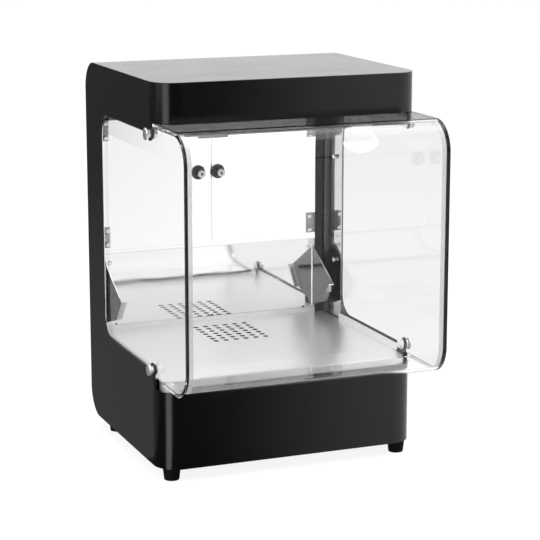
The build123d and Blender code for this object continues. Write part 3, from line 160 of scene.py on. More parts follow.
world = bpy.data.worlds.new("studio")
bpy.context.scene.world = world
world.use_nodes = True
sky = world.node_tree
sky.nodes.clear()
seen = ray_kinds(sky, "Camera", "Glossy", "Transmission")
bare = place(sky, "ShaderNodeMix", {"Factor": seen, "A": SKY_LIGHT, "B": 1.0}, data_type="FLOAT")
direction = place(sky, "ShaderNodeTexCoord")
parts = place(sky, "ShaderNodeSeparateXYZ", {0: direction.outputs["Generated"]})
in_front = ramp(sky, parts.outputs["Y"], *BAND_FRONT, 1.0, 0.0)
near_floor = ramp(sky, parts.outputs["Z"], *BAND_RISE, BAND_DEPTH, 0.0)
band = math_node(sky, "MULTIPLY", in_front, near_floor)
band_in_gloss = math_node(sky, "MULTIPLY", band, ray_kinds(sky, "Glossy"))
kept = math_node(sky, "SUBTRACT", 1.0, band_in_gloss)
strength = math_node(sky, "MULTIPLY", bare.outputs[0], kept)
background = place(sky, "ShaderNodeBackground", {"Color": (1, 1, 1, 1), "Strength": strength})
place(sky, "ShaderNodeOutputWorld", {"Surface": background.outputs[0]})
print("sky light", SKY_LIGHT, "for scattered rays, 1.0 for seen ones")

# %% [markdown]
# ## The floor
#
# The warmer stands on a wide pale sweep. A plane with a curved back would do, but at this low angle
# a flat disc that runs far past the view looks the same and has no bend for the steel to mirror.

# %% Floor disc
FLOOR_RADIUS = 14.0
FLOOR_SIDES = 96

floor_mesh = bpy.data.meshes.new("floor")
shape = bmesh.new()
bmesh.ops.create_circle(shape, cap_ends=True, segments=FLOOR_SIDES, radius=FLOOR_RADIUS)
shape.to_mesh(floor_mesh)
shape.free()
floor = bpy.data.objects.new("floor", floor_mesh)
bpy.context.scene.collection.objects.link(floor)
print("floor", FLOOR_RADIUS, "m in radius")

# %% [markdown]
# Black satin paint shows little but what it mirrors, and most of what it mirrors is this floor. An
# even white floor would turn the cabinet grey. Black cards round the warmer would cure that, as in
# a real studio, but they would also show in the steel. So the floor carries the cards as a shade
# that only mirrors see: dark in front, a bright side to the right whose border leans with the
# distance, a faint glow at the rear, and one narrow bright strip off the left front corner that
# draws the light line down the cabinet's rounded edge.

# %% Floor as mirrors see it
GLOSS_DARK, GLOSS_BRIGHT = 0.04, 0.8
GLOSS_BORDER = (-0.2, 0.2)
GLOSS_LEAN = -0.378
REAR_REACH = (0.5, 2.4)
REAR_GLOSS = (0.16, 0.08)
LEFT_CORNER = (-0.17, -0.1, 0.0)
STRIP_HEADING = (-0.8, -0.6, 0.0)
STRIP_WIDTH = (0.94, 1.0)
STRIP_GLOSS = 1.8


def fresh_material(name):
    """An empty node material with its output node."""
    made = bpy.data.materials.new(name)
    made.use_nodes = True
    made.node_tree.nodes.clear()
    return made, made.node_tree, place(made.node_tree, "ShaderNodeOutputMaterial")


def vector_node(tree, operation, first, second=None):
    """One step with vectors; returns the node."""
    inputs = {0: first} if second is None else {0: first, 1: second}
    return place(tree, "ShaderNodeVectorMath", inputs, operation=operation)


floor_material, tree, output = fresh_material("pale_floor")
spot = place(tree, "ShaderNodeTexCoord").outputs["Object"]
spread = place(tree, "ShaderNodeSeparateXYZ", {0: spot})
far = vector_node(tree, "LENGTH", spot).outputs["Value"]
terms = {0: far, 1: GLOSS_LEAN, 2: spread.outputs["X"]}
aside = place(tree, "ShaderNodeMath", terms, operation="MULTIPLY_ADD")
bright_side = ramp(tree, aside.outputs[0], *GLOSS_BORDER, GLOSS_DARK, GLOSS_BRIGHT, "SMOOTHSTEP")
rear_fall = ramp(tree, spread.outputs["Y"], *REAR_REACH, *REAR_GLOSS)
is_rear = math_node(tree, "GREATER_THAN", spread.outputs["Y"], 0.0)
rear_glow = math_node(tree, "MULTIPLY", rear_fall, is_rear)
from_corner = vector_node(tree, "SUBTRACT", spot, LEFT_CORNER).outputs[0]
heading = vector_node(tree, "NORMALIZE", from_corner).outputs[0]
towards = vector_node(tree, "DOT_PRODUCT", heading, STRIP_HEADING).outputs["Value"]
strip = ramp(tree, towards, *STRIP_WIDTH, 0.0, STRIP_GLOSS, "SMOOTHSTEP")
gloss = math_node(tree, "MAXIMUM", math_node(tree, "MAXIMUM", bright_side, rear_glow), strip)
print("floor in gloss from", GLOSS_DARK, "to", GLOSS_BRIGHT, "and", STRIP_GLOSS, "in the strip")

# %% [markdown]
# The floor then needs three looks, one for each kind of ray. Light that bounces off it meets plain
# matt paint. Mirrors meet the graded shade. The camera and clear panes meet a steady glow plus a
# little matt paint: the glow brings the ground to white without more light on the warmer, and the
# paint keeps its soft shadow.

# %% Floor material helpers
def grey(value):
    """A neutral colour with full alpha."""
    return (value, value, value, 1)


def shader_choice(tree, factor, off, on):
    """One shader where the factor is 0 and another where it is 1; returns the node."""
    shaders = {0: factor, 1: off.outputs[0], 2: on.outputs[0]}
    return place(tree, "ShaderNodeMixShader", shaders)


print("helpers:", grey.__name__, shader_choice.__name__)

# %% Floor material
FLOOR_PAINT = 0.80
FLOOR_SHADE = 0.22
FLOOR_GLOW = 0.885

matt = place(tree, "ShaderNodeBsdfDiffuse", {"Color": grey(FLOOR_PAINT)})
shade = place(tree, "ShaderNodeBsdfDiffuse", {"Color": grey(FLOOR_SHADE)})
glow = place(tree, "ShaderNodeEmission", {"Color": grey(1), "Strength": FLOOR_GLOW})
lifted = place(tree, "ShaderNodeAddShader", {0: shade.outputs[0], 1: glow.outputs[0]})
mirrored = place(tree, "ShaderNodeEmission", {"Color": grey(1), "Strength": gloss})
unseen = shader_choice(tree, ray_kinds(tree, "Glossy"), matt, mirrored)
whole = shader_choice(tree, ray_kinds(tree, "Camera", "Transmission"), unseen, lifted)
tree.links.new(whole.outputs[0], output.inputs["Surface"])
floor_mesh.materials.append(floor_material)
print(floor_material.name, "glow", FLOOR_GLOW, "shade", FLOOR_SHADE)

# %% [markdown]
# ## Lamps
#
# A studio lights such a warmer with large soft boxes. Small lamps would put hard sparks on the
# steel and hard shadows under the roof. Three area lamps of about two metres do the work here: one
# overhead and one at each side. They are turned to the warmer's middle by a tracking rotation,
# because an area lamp shines along its -Z.

# %% Lamps
WARMER_MIDDLE = (0, 0, 0.27)
SOFT_BOXES = {
    "overhead_box": {"position": (0.2, 0.1, 2.6), "size": (2.4, 2.4), "power": 34},
    "left_box": {"position": (-2.6, -0.4, 1.2), "size": (1.6, 2.0), "power": 16},
    "right_box": {"position": (2.2, -1.4, 1.4), "size": (1.4, 1.8), "power": 12},
}


def soft_lamp(name, position, size, power):
    """A rectangular soft box at a position, turned to look at the warmer."""
    data = bpy.data.lights.new(name, "AREA")
    data.shape = "RECTANGLE"
    data.size, data.size_y = size
    data.energy = power
    lamp = bpy.data.objects.new(name, data)
    lamp.location = position
    aim = Vector(WARMER_MIDDLE) - Vector(position)
    lamp.rotation_euler = aim.to_track_quat("-Z", "Y").to_euler()
    bpy.context.scene.collection.objects.link(lamp)
    return lamp


for name, box in SOFT_BOXES.items():
    print(soft_lamp(name, **box).name, box["power"], "W")

# %% [markdown]
# ## Effects that several finishes share
#
# Paint, steel and plastic are different stuffs, but all of them have a fine grain, the marks of
# hands and cloths, a little dust and softened edges. These could be painted by hand, one piece
# after the other. Here each effect is a node group instead, built once and placed in every finish
# with its own numbers. A group works in object coordinates, so its sizes are real sizes in metres
# on any piece.


# %% Group helper
FLOAT, VECTOR = "NodeSocketFloat", "NodeSocketVector"


def effect_group(name, inputs, outputs):
    """An empty shader node group with named sockets; returns the tree and its two end nodes."""
    tree = bpy.data.node_groups.new(name, "ShaderNodeTree")
    for label, kind, value in inputs:
        socket = tree.interface.new_socket(label, in_out="INPUT", socket_type=kind)
        socket.default_value = value
    for label, kind in outputs:
        tree.interface.new_socket(label, in_out="OUTPUT", socket_type=kind)
    return tree, tree.nodes.new("NodeGroupInput"), tree.nodes.new("NodeGroupOutput")


def effect(tree, group, **values):
    """Place a group in another tree and set its inputs."""
    return place(tree, "ShaderNodeGroup", values, node_tree=group)


print("sockets:", FLOAT, VECTOR)

# %% [markdown]
# Grain is what makes a brushed sheet brushed and a powder coat soft. On the real sheet it is
# thousands of fine scratches or bumps. One noise texture does for all: divided by a size in metres
# it gets the right scale, and multiplied by a small number along one axis it stretches into brush
# strokes.

# %% Grain
GRAIN_ROUGHNESS = 0.6

grain, start, end = effect_group(
    "grain",
    [("Size", FLOAT, 0.001), ("Stretch", VECTOR, (1, 1, 1)), ("Detail", FLOAT, 3.0)],
    [("Value", FLOAT)],
)
where = place(grain, "ShaderNodeTexCoord")
per_size = math_node(grain, "DIVIDE", 1.0, start.outputs["Size"])
terms = {0: where.outputs["Object"], "Scale": per_size}
scaled = place(grain, "ShaderNodeVectorMath", terms, operation="SCALE")
stretched = vector_node(grain, "MULTIPLY", scaled.outputs[0], start.outputs["Stretch"])
noise = place(
    grain,
    "ShaderNodeTexNoise",
    {
        "Vector": stretched.outputs[0],
        "Scale": 1.0,
        "Detail": start.outputs["Detail"],
        "Roughness": GRAIN_ROUGHNESS,
    },
)
grain.links.new(noise.outputs[0], end.inputs["Value"])
print(grain.name, "with", len(grain.nodes), "nodes")

# %% [markdown]
# A warmer is opened, filled and wiped all day. Fingers and cloths leave soft patches that are a
# little duller than the rest. The grain group at a large size gives the patches, and a ramp cuts
# them so that most of the surface stays clean. The result is a mask, which each finish adds to its
# roughness.

# %% Hand marks
MARK_BORDER = (0.48, 0.72)
MARK_DETAIL = 6.0

hand_marks, start, end = effect_group(
    "hand_marks", [("Size", FLOAT, 0.05), ("Amount", FLOAT, 0.5)], [("Mask", FLOAT)]
)
patches = effect(hand_marks, grain, Size=start.outputs["Size"], Detail=MARK_DETAIL)
patchy = ramp(hand_marks, patches.outputs[0], *MARK_BORDER)
marked = math_node(hand_marks, "MULTIPLY", patchy, start.outputs["Amount"], clamp=True)
hand_marks.links.new(marked, end.inputs["Mask"])
print(hand_marks.name, "with", len(hand_marks.nodes), "nodes")

# %% [markdown]
# Dust settles on what faces up: the roof, and the upper sides of feet and fan. Loose particles
# would be heavy and would hardly show. A mask is enough: how far the surface faces up, raised to a
# power so that slopes stay clean, times a fine speckle.

# %% Settled dust
UPWARD_POWER = 4.0
SPECK_SIZE = 0.004
SPECK_DETAIL = 8.0

settled_dust, start, end = effect_group("settled_dust", [("Amount", FLOAT, 0.1)], [("Mask", FLOAT)])
facing = place(settled_dust, "ShaderNodeNewGeometry")
parts = place(settled_dust, "ShaderNodeSeparateXYZ", {0: facing.outputs["Normal"]})
lifted = math_node(settled_dust, "MAXIMUM", parts.outputs["Z"], 0.0)
upward = math_node(settled_dust, "POWER", lifted, UPWARD_POWER)
specks = effect(settled_dust, grain, Size=SPECK_SIZE, Detail=SPECK_DETAIL)
speckled = math_node(settled_dust, "MULTIPLY", upward, specks.outputs[0])
dusty = math_node(settled_dust, "MULTIPLY", speckled, start.outputs["Amount"], clamp=True)
settled_dust.links.new(dusty, end.inputs["Mask"])
print(settled_dust.name, "with", len(settled_dust.nodes), "nodes")

# %% [markdown]
# No folded or moulded edge is perfectly sharp: it has a small radius that catches a line of light,
# and it wears there first. Bevelling sixty solids would multiply their faces. The Bevel node bends
# the normal near an edge instead, as if it were round, and where the bent normal differs from the
# flat one there is an edge, which gives the mask of wear for free.

# %% Soft edges
EDGE_RADIUS = 0.0005
EDGE_SAMPLES = 4
EDGE_GAIN = 3.0

soft_edge, start, end = effect_group(
    "soft_edge", [("Amount", FLOAT, 0.5)], [("Normal", VECTOR), ("Mask", FLOAT)]
)
rounded = place(soft_edge, "ShaderNodeBevel", {"Radius": EDGE_RADIUS}, samples=EDGE_SAMPLES)
flat = place(soft_edge, "ShaderNodeNewGeometry")
likeness = vector_node(soft_edge, "DOT_PRODUCT", rounded.outputs[0], flat.outputs["Normal"])
bent = math_node(soft_edge, "SUBTRACT", 1.0, likeness.outputs["Value"])
sharp = math_node(soft_edge, "MULTIPLY", bent, EDGE_GAIN, clamp=True)
worn = math_node(soft_edge, "MULTIPLY", sharp, start.outputs["Amount"], clamp=True)
soft_edge.links.new(rounded.outputs[0], end.inputs["Normal"])
soft_edge.links.new(worn, end.inputs["Mask"])
print("effects:", [group.name for group in bpy.data.node_groups])

# %% [markdown]
# ## Finishes
#
# Nearly all of the warmer is opaque, and one recipe serves for paint, steel, rubber and plastic. It
# is a Principled shader. Its plain numbers, such as how metallic it is, sit on the shader's own
# sockets. Only what changes over the surface comes from the groups: the grain moves the roughness
# between two values and lifts a slight relief, the marks make it duller, and edges and dust blend
# in a second colour.

# %% Finish helper
SMEAR = 0.04

finishes = {}


def tinted(tree, factor, first, second):
    """A colour between two others."""
    blend = place(
        tree, "ShaderNodeMix", {"Factor": factor, 6: (*first, 1), 7: (*second, 1)}, data_type="RGBA"
    )
    return blend.outputs[2]


def relieved(tree, height, depth, normal):
    """A normal with a relief of some depth in metres laid over it."""
    relief = {"Strength": 1.0, "Distance": depth, "Height": height, "Normal": normal}
    return place(tree, "ShaderNodeBump", relief).outputs[0]


def surface(
    name,
    colour,
    second,
    roughness,
    metallic=0.0,
    grain_size=0.001,
    stretch=(1, 1, 1),
    relief=0.00001,
    marks=0.3,
    marks_size=0.05,
    dust=0.0,
    edge=0.0,
    **sockets,
):
    """A Principled finish with grain, hand marks, settled dust and soft, worn edges."""
    made, tree, output = fresh_material(name)
    fine = effect(tree, grain, Size=grain_size, Stretch=stretch)
    marked = effect(tree, hand_marks, Size=marks_size, Amount=marks)
    rim = effect(tree, soft_edge, Amount=edge)
    speckle = effect(tree, settled_dust, Amount=dust)
    colour_shift = math_node(tree, "ADD", rim.outputs["Mask"], speckle.outputs["Mask"], clamp=True)
    base = tinted(tree, colour_shift, colour, second)
    low, high = roughness
    grained = ramp(tree, fine.outputs[0], 0.0, 1.0, low, high)
    smeared = math_node(tree, "MULTIPLY", marked.outputs[0], (high - low) + SMEAR)
    rough = math_node(tree, "ADD", grained, smeared, clamp=True)
    lifted = relieved(tree, fine.outputs[0], relief, rim.outputs["Normal"])
    own = {"Base Color": base, "Roughness": rough, "Metallic": metallic, "Normal": lifted}
    shader = place(tree, "ShaderNodeBsdfPrincipled", {**own, **sockets})
    tree.links.new(shader.outputs[0], output.inputs["Surface"])
    print(name, "roughness", low, "to", high)
    return made


# %% [markdown]
# The cabinet, its roof and its rear are powder coated: a nearly black skin with a satin sheen and
# the faintest orange peel. Mid-grey paint under little light would look much the same in one view,
# and wrong in every other. So the colour is as dark as the coat, and what light there is comes from
# its reflection, with a thin second coat on top that keeps the highlights clean.

# %% Black paint
finishes["black_paint"] = surface(
    "black_paint", (0.003, 0.003, 0.0033), (0.04, 0.04, 0.04), (0.13, 0.19),
    grain_size=0.0009, relief=0.00001, marks=0.4, marks_size=0.09, dust=0.1, edge=0.25,
    **{"Coat Weight": 0.15, "Coat Roughness": 0.12},
)

# %% [markdown]
# ## Stainless sheet
#
# The rear flap and the linings of the posts are polished. Thin polished sheet is never quite flat,
# so what it mirrors looks like silk. Bending the mesh would show at its edges. A slow, shallow bump
# bends only the reflection, so the grain group comes in once more, at seven centimetres.

# %% Polished steel
WAVE_SIZE = 0.07
WAVE_HEIGHT = 0.00022


def shader_of(material):
    """The Principled shader of a finish."""
    return next(node for node in material.node_tree.nodes if node.type == "BSDF_PRINCIPLED")


def waved(material, size, height):
    """Bend a finish's normal by slow waves, as in thin polished sheet."""
    tree = material.node_tree
    normal = shader_of(material).inputs["Normal"]
    waves = effect(tree, grain, Size=size, Detail=1.0)
    before = normal.links[0].from_socket
    tree.links.new(relieved(tree, waves.outputs[0], height, before), normal)


for name in ("bright_steel", "flap_steel_shaded_cheeks"):
    finishes[name] = surface(
        name, (0.93, 0.93, 0.925), (0.95, 0.95, 0.95), (0.03, 0.06), metallic=1.0,
        grain_size=0.0012, stretch=(0.02, 1, 1), relief=0.000001, marks=0.5, marks_size=0.06,
        edge=0.2,
    )
    waved(finishes[name], WAVE_SIZE, WAVE_HEIGHT)

# %% [markdown]
# The flap's two cheeks stand between the black posts and look darker than the panel that they close
# off. That darkness is painted shade here: the cheeks get a darker colour than the steel they are
# folded from. They could be cut off as pieces with a finish of their own, but on the real flap they
# are folded from the same sheet. So they stay one piece, and a mask finds the faces that look
# sideways in the piece's own coordinates, which turn with the flap when it tilts.

# %% Cheeks darkened by painted shade
CHEEK_PAINTED_SHADE = (0.15, 0.15, 0.15)
SIDEWAYS = 0.9


def recoloured(material, mask, colour):
    """Give a finish another colour wherever a mask is 1."""
    tree = material.node_tree
    base = shader_of(material).inputs["Base Color"]
    before = base.links[0].from_socket
    colours = {"Factor": mask, 6: before, 7: (*colour, 1)}
    blend = place(tree, "ShaderNodeMix", colours, data_type="RGBA")
    tree.links.new(blend.outputs[2], base)


tree = finishes["flap_steel_shaded_cheeks"].node_tree
own = place(tree, "ShaderNodeTexCoord")
parts = place(tree, "ShaderNodeSeparateXYZ", {0: own.outputs["Normal"]})
sideways = math_node(tree, "ABSOLUTE", parts.outputs["X"])
is_cheek = math_node(tree, "GREATER_THAN", sideways, SIDEWAYS)
# painted shade on the cheeks
recoloured(finishes["flap_steel_shaded_cheeks"], is_cheek, CHEEK_PAINTED_SHADE)
print("cheeks of", finishes["flap_steel_shaded_cheeks"].name, "at", CHEEK_PAINTED_SHADE[0])

# %% [markdown]
# The deck is brushed from side to side, so its grain is stretched along X. Its holes are punched,
# and each one is a short, rough tunnel in shade. A mirror-bright wall inside it would close the
# hole to the eye. A mask picks the upright faces within the perforated patch, and they get a dark
# colour: painted shade for the inside of the holes.

# %% Brushed deck, with painted shade in its holes
HOLES_X, HOLES_Y = (-0.062, 0.062), (0.064, 0.166)
UPRIGHT = 0.3
HOLE_PAINTED_SHADE = (0.03, 0.03, 0.03)

finishes["deck_steel"] = surface(
    "deck_steel", (0.97, 0.97, 0.965), (0.97, 0.97, 0.97), (0.28, 0.36), metallic=0.78,
    grain_size=0.0008, stretch=(0.02, 1, 1), relief=0.000003, marks=0.5, marks_size=0.07, edge=0.2,
)

tree = finishes["deck_steel"].node_tree
spot = place(tree, "ShaderNodeTexCoord")
near = place(tree, "ShaderNodeSeparateXYZ", {0: spot.outputs["Object"]})
walls = 1.0
for axis, (low, high) in {"X": HOLES_X, "Y": HOLES_Y}.items():
    above = math_node(tree, "GREATER_THAN", near.outputs[axis], low)
    below = math_node(tree, "LESS_THAN", near.outputs[axis], high)
    walls = math_node(tree, "MULTIPLY", math_node(tree, "MULTIPLY", above, below), walls)
facing = place(tree, "ShaderNodeNewGeometry")
parts = place(tree, "ShaderNodeSeparateXYZ", {0: facing.outputs["Normal"]})
upright = math_node(tree, "LESS_THAN", math_node(tree, "ABSOLUTE", parts.outputs["Z"]), UPRIGHT)
# painted shade on the walls of the holes
recoloured(finishes["deck_steel"], math_node(tree, "MULTIPLY", walls, upright), HOLE_PAINTED_SHADE)
print("holes of the deck darkened between", HOLES_X, "and", HOLES_Y)

# %% [markdown]
# ## Small metal parts
#
# The hood's fixings are chromed, the rods, pins and hidden screws are zinc plated, the hinges are
# satin steel, the duct is galvanised with its large spangle, and the heater's sheath is stained by
# heat. One grey metal for all would be simpler, but a bench of parts never looks like that. Each
# gets its own grain size and dullness. Chrome and hinge steel are kept a little short of full
# metal: deep inside the hood they mirror mostly black sheet, and the rest of their brightness comes
# from scattered light.

# %% Bright fittings
finishes["chrome"] = surface(
    "chrome", (0.92, 0.92, 0.925), (0.97, 0.97, 0.97), (0.12, 0.20), metallic=0.8,
    grain_size=0.0006, relief=0.000003, marks=0.4, marks_size=0.004, edge=0.2,
)
finishes["zinc"] = surface(
    "zinc", (0.62, 0.63, 0.66), (0.75, 0.74, 0.70), (0.22, 0.36), metallic=1.0,
    grain_size=0.0007, relief=0.000008, marks=0.5, marks_size=0.006, edge=0.3,
)
finishes["hinge_steel"] = surface(
    "hinge_steel", (0.92, 0.92, 0.92), (0.98, 0.98, 0.98), (0.30, 0.42), metallic=0.1,
    grain_size=0.0006, stretch=(1, 1, 0.05), relief=0.000008, marks=0.4, marks_size=0.008, edge=0.3,
)

# %% Dull fittings
finishes["galvanised"] = surface(
    "galvanised", (0.50, 0.52, 0.54), (0.66, 0.67, 0.68), (0.30, 0.48), metallic=1.0,
    grain_size=0.006, relief=0.00001, marks=0.6, marks_size=0.012, edge=0.3,
)
finishes["heater_sheath"] = surface(
    "heater_sheath", (0.20, 0.17, 0.15), (0.33, 0.24, 0.17), (0.34, 0.52), metallic=1.0,
    grain_size=0.002, relief=0.00001, marks=0.7, marks_size=0.01, dust=0.3, edge=0.3,
)
finishes["dark_screw"] = surface(
    "dark_screw", (0.045, 0.045, 0.047), (0.35, 0.35, 0.36), (0.28, 0.42), metallic=0.6,
    grain_size=0.0005, relief=0.00001, marks=0.3, marks_size=0.004, edge=0.4,
)

# %% [markdown]
# ## Mouldings
#
# Knobs, gland and fan are matt black plastic, and the switches a glossier one. The caps in the
# knobs and the terminals are pale. Feet, washers and the bow's gaskets are rubber, which hardly
# mirrors at all, so its specular level is low. Black would do for all the dark ones from afar, but
# close by it is the gloss that tells rubber from plastic.

# %% Plastics and rubber
finishes["black_plastic"] = surface(
    "black_plastic", (0.012, 0.012, 0.012), (0.07, 0.07, 0.07), (0.34, 0.46),
    grain_size=0.0005, relief=0.00002, marks=0.4, marks_size=0.012, edge=0.3,
)
finishes["switch_plastic"] = surface(
    "switch_plastic", (0.012, 0.012, 0.012), (0.06, 0.06, 0.06), (0.14, 0.22),
    grain_size=0.0004, relief=0.000006, marks=0.5, marks_size=0.008, edge=0.2,
)
finishes["pale_plastic"] = surface(
    "pale_plastic", (0.93, 0.93, 0.92), (0.80, 0.79, 0.77), (0.26, 0.38),
    grain_size=0.0005, relief=0.00001, marks=0.5, marks_size=0.006, edge=0.3,
)
finishes["rubber"] = surface(
    "rubber", (0.006, 0.006, 0.006), (0.05, 0.05, 0.05), (0.62, 0.80),
    grain_size=0.0007, relief=0.00004, marks=0.5, marks_size=0.01, dust=0.3, edge=0.2,
    **{"Specular IOR Level": 0.1},
)

# %% [markdown]
# The lamp's holder is glazed ceramic. Its bulb is coated white inside and is lit. A lamp could be
# put inside a hollow glass bulb, but the coating hides the filament and spreads the light evenly,
# so the bulb's surface glows by itself, with a plain strength on the shader's own socket.

# %% Ceramic and bulb
finishes["ceramic"] = surface(
    "ceramic", (0.80, 0.78, 0.73), (0.62, 0.58, 0.50), (0.12, 0.22),
    grain_size=0.0015, relief=0.00001, marks=0.4, marks_size=0.01, edge=0.3,
)
finishes["bulb_glass"] = surface(
    "bulb_glass", (0.86, 0.855, 0.84), (0.70, 0.69, 0.66), (0.10, 0.20),
    grain_size=0.002, relief=0.000006, marks=0.4, marks_size=0.015, edge=0.0,
    **{"Emission Color": (1.0, 0.99, 0.97, 1), "Emission Strength": 0.6},
)

# %% [markdown]
# ## Clear acrylic
#
# The hood, the side windows and the doors are clear acrylic, 4 mm thick. A thin see-through film
# would be quicker, but it has no cut edges, and edges are most of what one sees of a clear pane.
# These panes are closed slabs with full transmission. The bend of the light is set lower than that
# of real acrylic, so that a pane doesn't throw back a doubled image of everything beside it. The
# other choices:
#
# - A lamp's light goes straight through. Traced as glass, it would never find its way in, and the
#   deck would be black.
# - Where the bow bends over the top and is seen at a slant, it mirrors the black front band above
#   it. That reflection is painted in, as a dark tint by slant and height.
# - The doors are sawn from flat sheet, so their edges are greyer than the bow's.
# - The right window is the same acrylic, but it gets a deeper tint: painted shade, so that it reads
#   darker than the bright ground behind it.

# %% Acrylic helper
ACRYLIC_BEND = 1.25
HAZE = 0.02
SMEAR_SIZE, SMEAR_AMOUNT = 0.04, 0.6
LAMP_PASS = 0.95
SLANT = (0.68, 0.77)
BOW_TOP_Z = 0.43
FASCIA_PAINTED_REFLECTION = (0.07, 0.07, 0.07)
SAWN_TINT = (0.55, 0.56, 0.56)
CUT_EDGE = 0.5


def bow_mask(tree, spot):
    """1 on the top of the bow where it is seen at a slant, which gets the painted reflection."""
    slant = place(tree, "ShaderNodeLayerWeight", {"Blend": 0.5})
    steep = ramp(tree, slant.outputs["Facing"], *SLANT)
    height = place(tree, "ShaderNodeSeparateXYZ", {0: spot.outputs["Object"]})
    on_top = math_node(tree, "GREATER_THAN", height.outputs["Z"], BOW_TOP_Z)
    return math_node(tree, "MULTIPLY", steep, on_top)


def sawn_mask(tree, spot):
    """1 on the cut edges of a sheet that lies across Y."""
    facing = place(tree, "ShaderNodeSeparateXYZ", {0: spot.outputs["Normal"]})
    across = math_node(tree, "ABSOLUTE", facing.outputs["Y"])
    return math_node(tree, "LESS_THAN", across, CUT_EDGE)


def acrylic(name, tint, sawn=False):
    """Clear sheet of one tint, which refracts what is seen and lets lamp light straight through."""
    made, tree, output = fresh_material(name)
    smears = effect(tree, hand_marks, Size=SMEAR_SIZE, Amount=SMEAR_AMOUNT)
    hazed = ramp(tree, smears.outputs[0], 0.0, 1.0, 0.0, HAZE)
    spot = place(tree, "ShaderNodeTexCoord")
    # the bow's top gets a painted reflection of the black front band; the doors' cut edges a grey
    # tint
    mask = sawn_mask(tree, spot) if sawn else bow_mask(tree, spot)
    dark = SAWN_TINT if sawn else FASCIA_PAINTED_REFLECTION
    seen = place(
        tree,
        "ShaderNodeBsdfPrincipled",
        {
            "Base Color": tinted(tree, mask, tint, dark),
            "Roughness": hazed,
            "IOR": ACRYLIC_BEND,
            "Transmission Weight": 1.0,
        },
    )
    lit = place(tree, "ShaderNodeBsdfTransparent", {"Color": grey(LAMP_PASS)})
    both = shader_choice(tree, ray_kinds(tree, "Shadow"), seen, lit)
    tree.links.new(both.outputs[0], output.inputs["Surface"])
    print(name, "tint", tint[0])
    return made


# %% Three acrylics
CLEAR_TINT = (0.996, 0.997, 0.997)
RIGHT_WINDOW_PAINTED_SHADE = (0.83, 0.835, 0.835)

finishes["clear_plastic"] = acrylic("clear_plastic", CLEAR_TINT)
finishes["clear_plastic_door"] = acrylic("clear_plastic_door", CLEAR_TINT, sawn=True)
# the same acrylic, darker as painted shade
finishes["clear_plastic_right"] = acrylic("clear_plastic_right", RIGHT_WINDOW_PAINTED_SHADE)

# %% [markdown]
# ## Dressing the solids
#
# The record says which slot each node takes its finish from. The nodes could be copied and dressed
# as new objects, but they already have the right shapes and places. So a node keeps its mesh and
# place, and only its material changes. The flap is the one node with a finish of its own.

# %% Dress the nodes
OWN_FINISH = {"rear_flap": "flap_steel_shaded_cheeks"}

for row in frame["record"]["subparts"]:
    mesh = nodes[row["node"]].data
    mesh.materials.clear()
    mesh.materials.append(finishes[OWN_FINISH.get(row["node"], row["material_slot"])])

# %% [markdown]
# ## Panes with eased edges
#
# Acrylic is sawn and then flame polished, so its edges are slightly round and catch a line of
# light. The Bevel node can't do that on a clear slab, because light has to go through a real round
# edge. So each pane is a copy of its solid, with a small bevel on every sharp edge. The copy is
# also drawn in by a few hundredths of a millimetre: a pane that shares a face with the metal behind
# it would show that metal black.

# %% Copying and easing
CREASE = math.radians(18)
SHARP = math.radians(35)
SAME_PLACE = 1e-6
NEARLY_FLAT = math.radians(0.3)


def copied(node):
    """The mesh of a CAD node as a clean bmesh: one vertex at each corner and whole flat faces."""
    shape = bmesh.new()
    shape.from_mesh(nodes[node].data)
    bmesh.ops.remove_doubles(shape, verts=shape.verts, dist=SAME_PLACE)
    bmesh.ops.dissolve_limit(shape, angle_limit=NEARLY_FLAT, verts=shape.verts, edges=shape.edges)
    bmesh.ops.recalc_face_normals(shape, faces=shape.faces)
    return shape


def turn_at(edge):
    """The angle between an edge's two faces, or None where it doesn't have two."""
    return edge.calc_face_angle(0.0) if len(edge.link_faces) == 2 else None


def eased(shape, width, segments=2):
    """Round every sharp edge of a bmesh by a small bevel."""
    sharp = [edge for edge in shape.edges if (turn_at(edge) or 0.0) > SHARP]
    bmesh.ops.bevel(
        shape,
        geom=sharp,
        offset=width,
        segments=segments,
        profile=0.5,
        affect="EDGES",
        clamp_overlap=True,
    )
    return shape


def new_piece(name, shape, body, finish):
    """Turn a bmesh into a piece that rides on a body and takes its finish from a slot."""
    mesh = bpy.data.meshes.new(name)
    for edge in shape.edges:
        turn = turn_at(edge)
        edge.smooth = turn is not None and turn < CREASE
    for face in shape.faces:
        face.smooth = True
    shape.to_mesh(mesh)
    shape.free()
    mesh.materials.append(finish)
    piece = bpy.data.objects.new(name, mesh)
    bpy.context.scene.collection.objects.link(piece)
    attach(piece, body)
    print(name, len(mesh.polygons), "faces, on", body)
    return piece


# %% Panes
EASE = 0.0003
DRAW_IN = 0.00004
PANES = {
    "front_window": ("cabinet", "clear_plastic"),
    "left_side_window": ("cabinet", "clear_plastic"),
    "right_side_window": ("cabinet", "clear_plastic_right"),
    "left_rear_door": ("left_door", "clear_plastic_door"),
    "right_rear_door": ("right_door", "clear_plastic_door"),
}

for node, (body, finish) in PANES.items():
    shape = copied(node)
    shape.normal_update()
    for vertex in shape.verts:
        vertex.co += vertex.normal * -DRAW_IN
    pane = new_piece(f"{node}_pane", eased(shape, EASE), body, finishes[finish])
    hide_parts(node)

# %% [markdown]
# ## Beads, strips and sockets
#
# Along each side of the bow a black gasket is let in between the front sheet and the side window.
# Beside it the sheet's cut edge shows as a pale, half clear line. It could be drawn as a curve
# along the bow, but the gasket already has that exact run. So the bead is the gasket's own shape,
# moved inward and made a little wider.

# %% Bow beads
BEAD_SHIFT = 0.0041
BEAD_WIDEN = 1.4
BEAD_OUTER_X = 0.1756

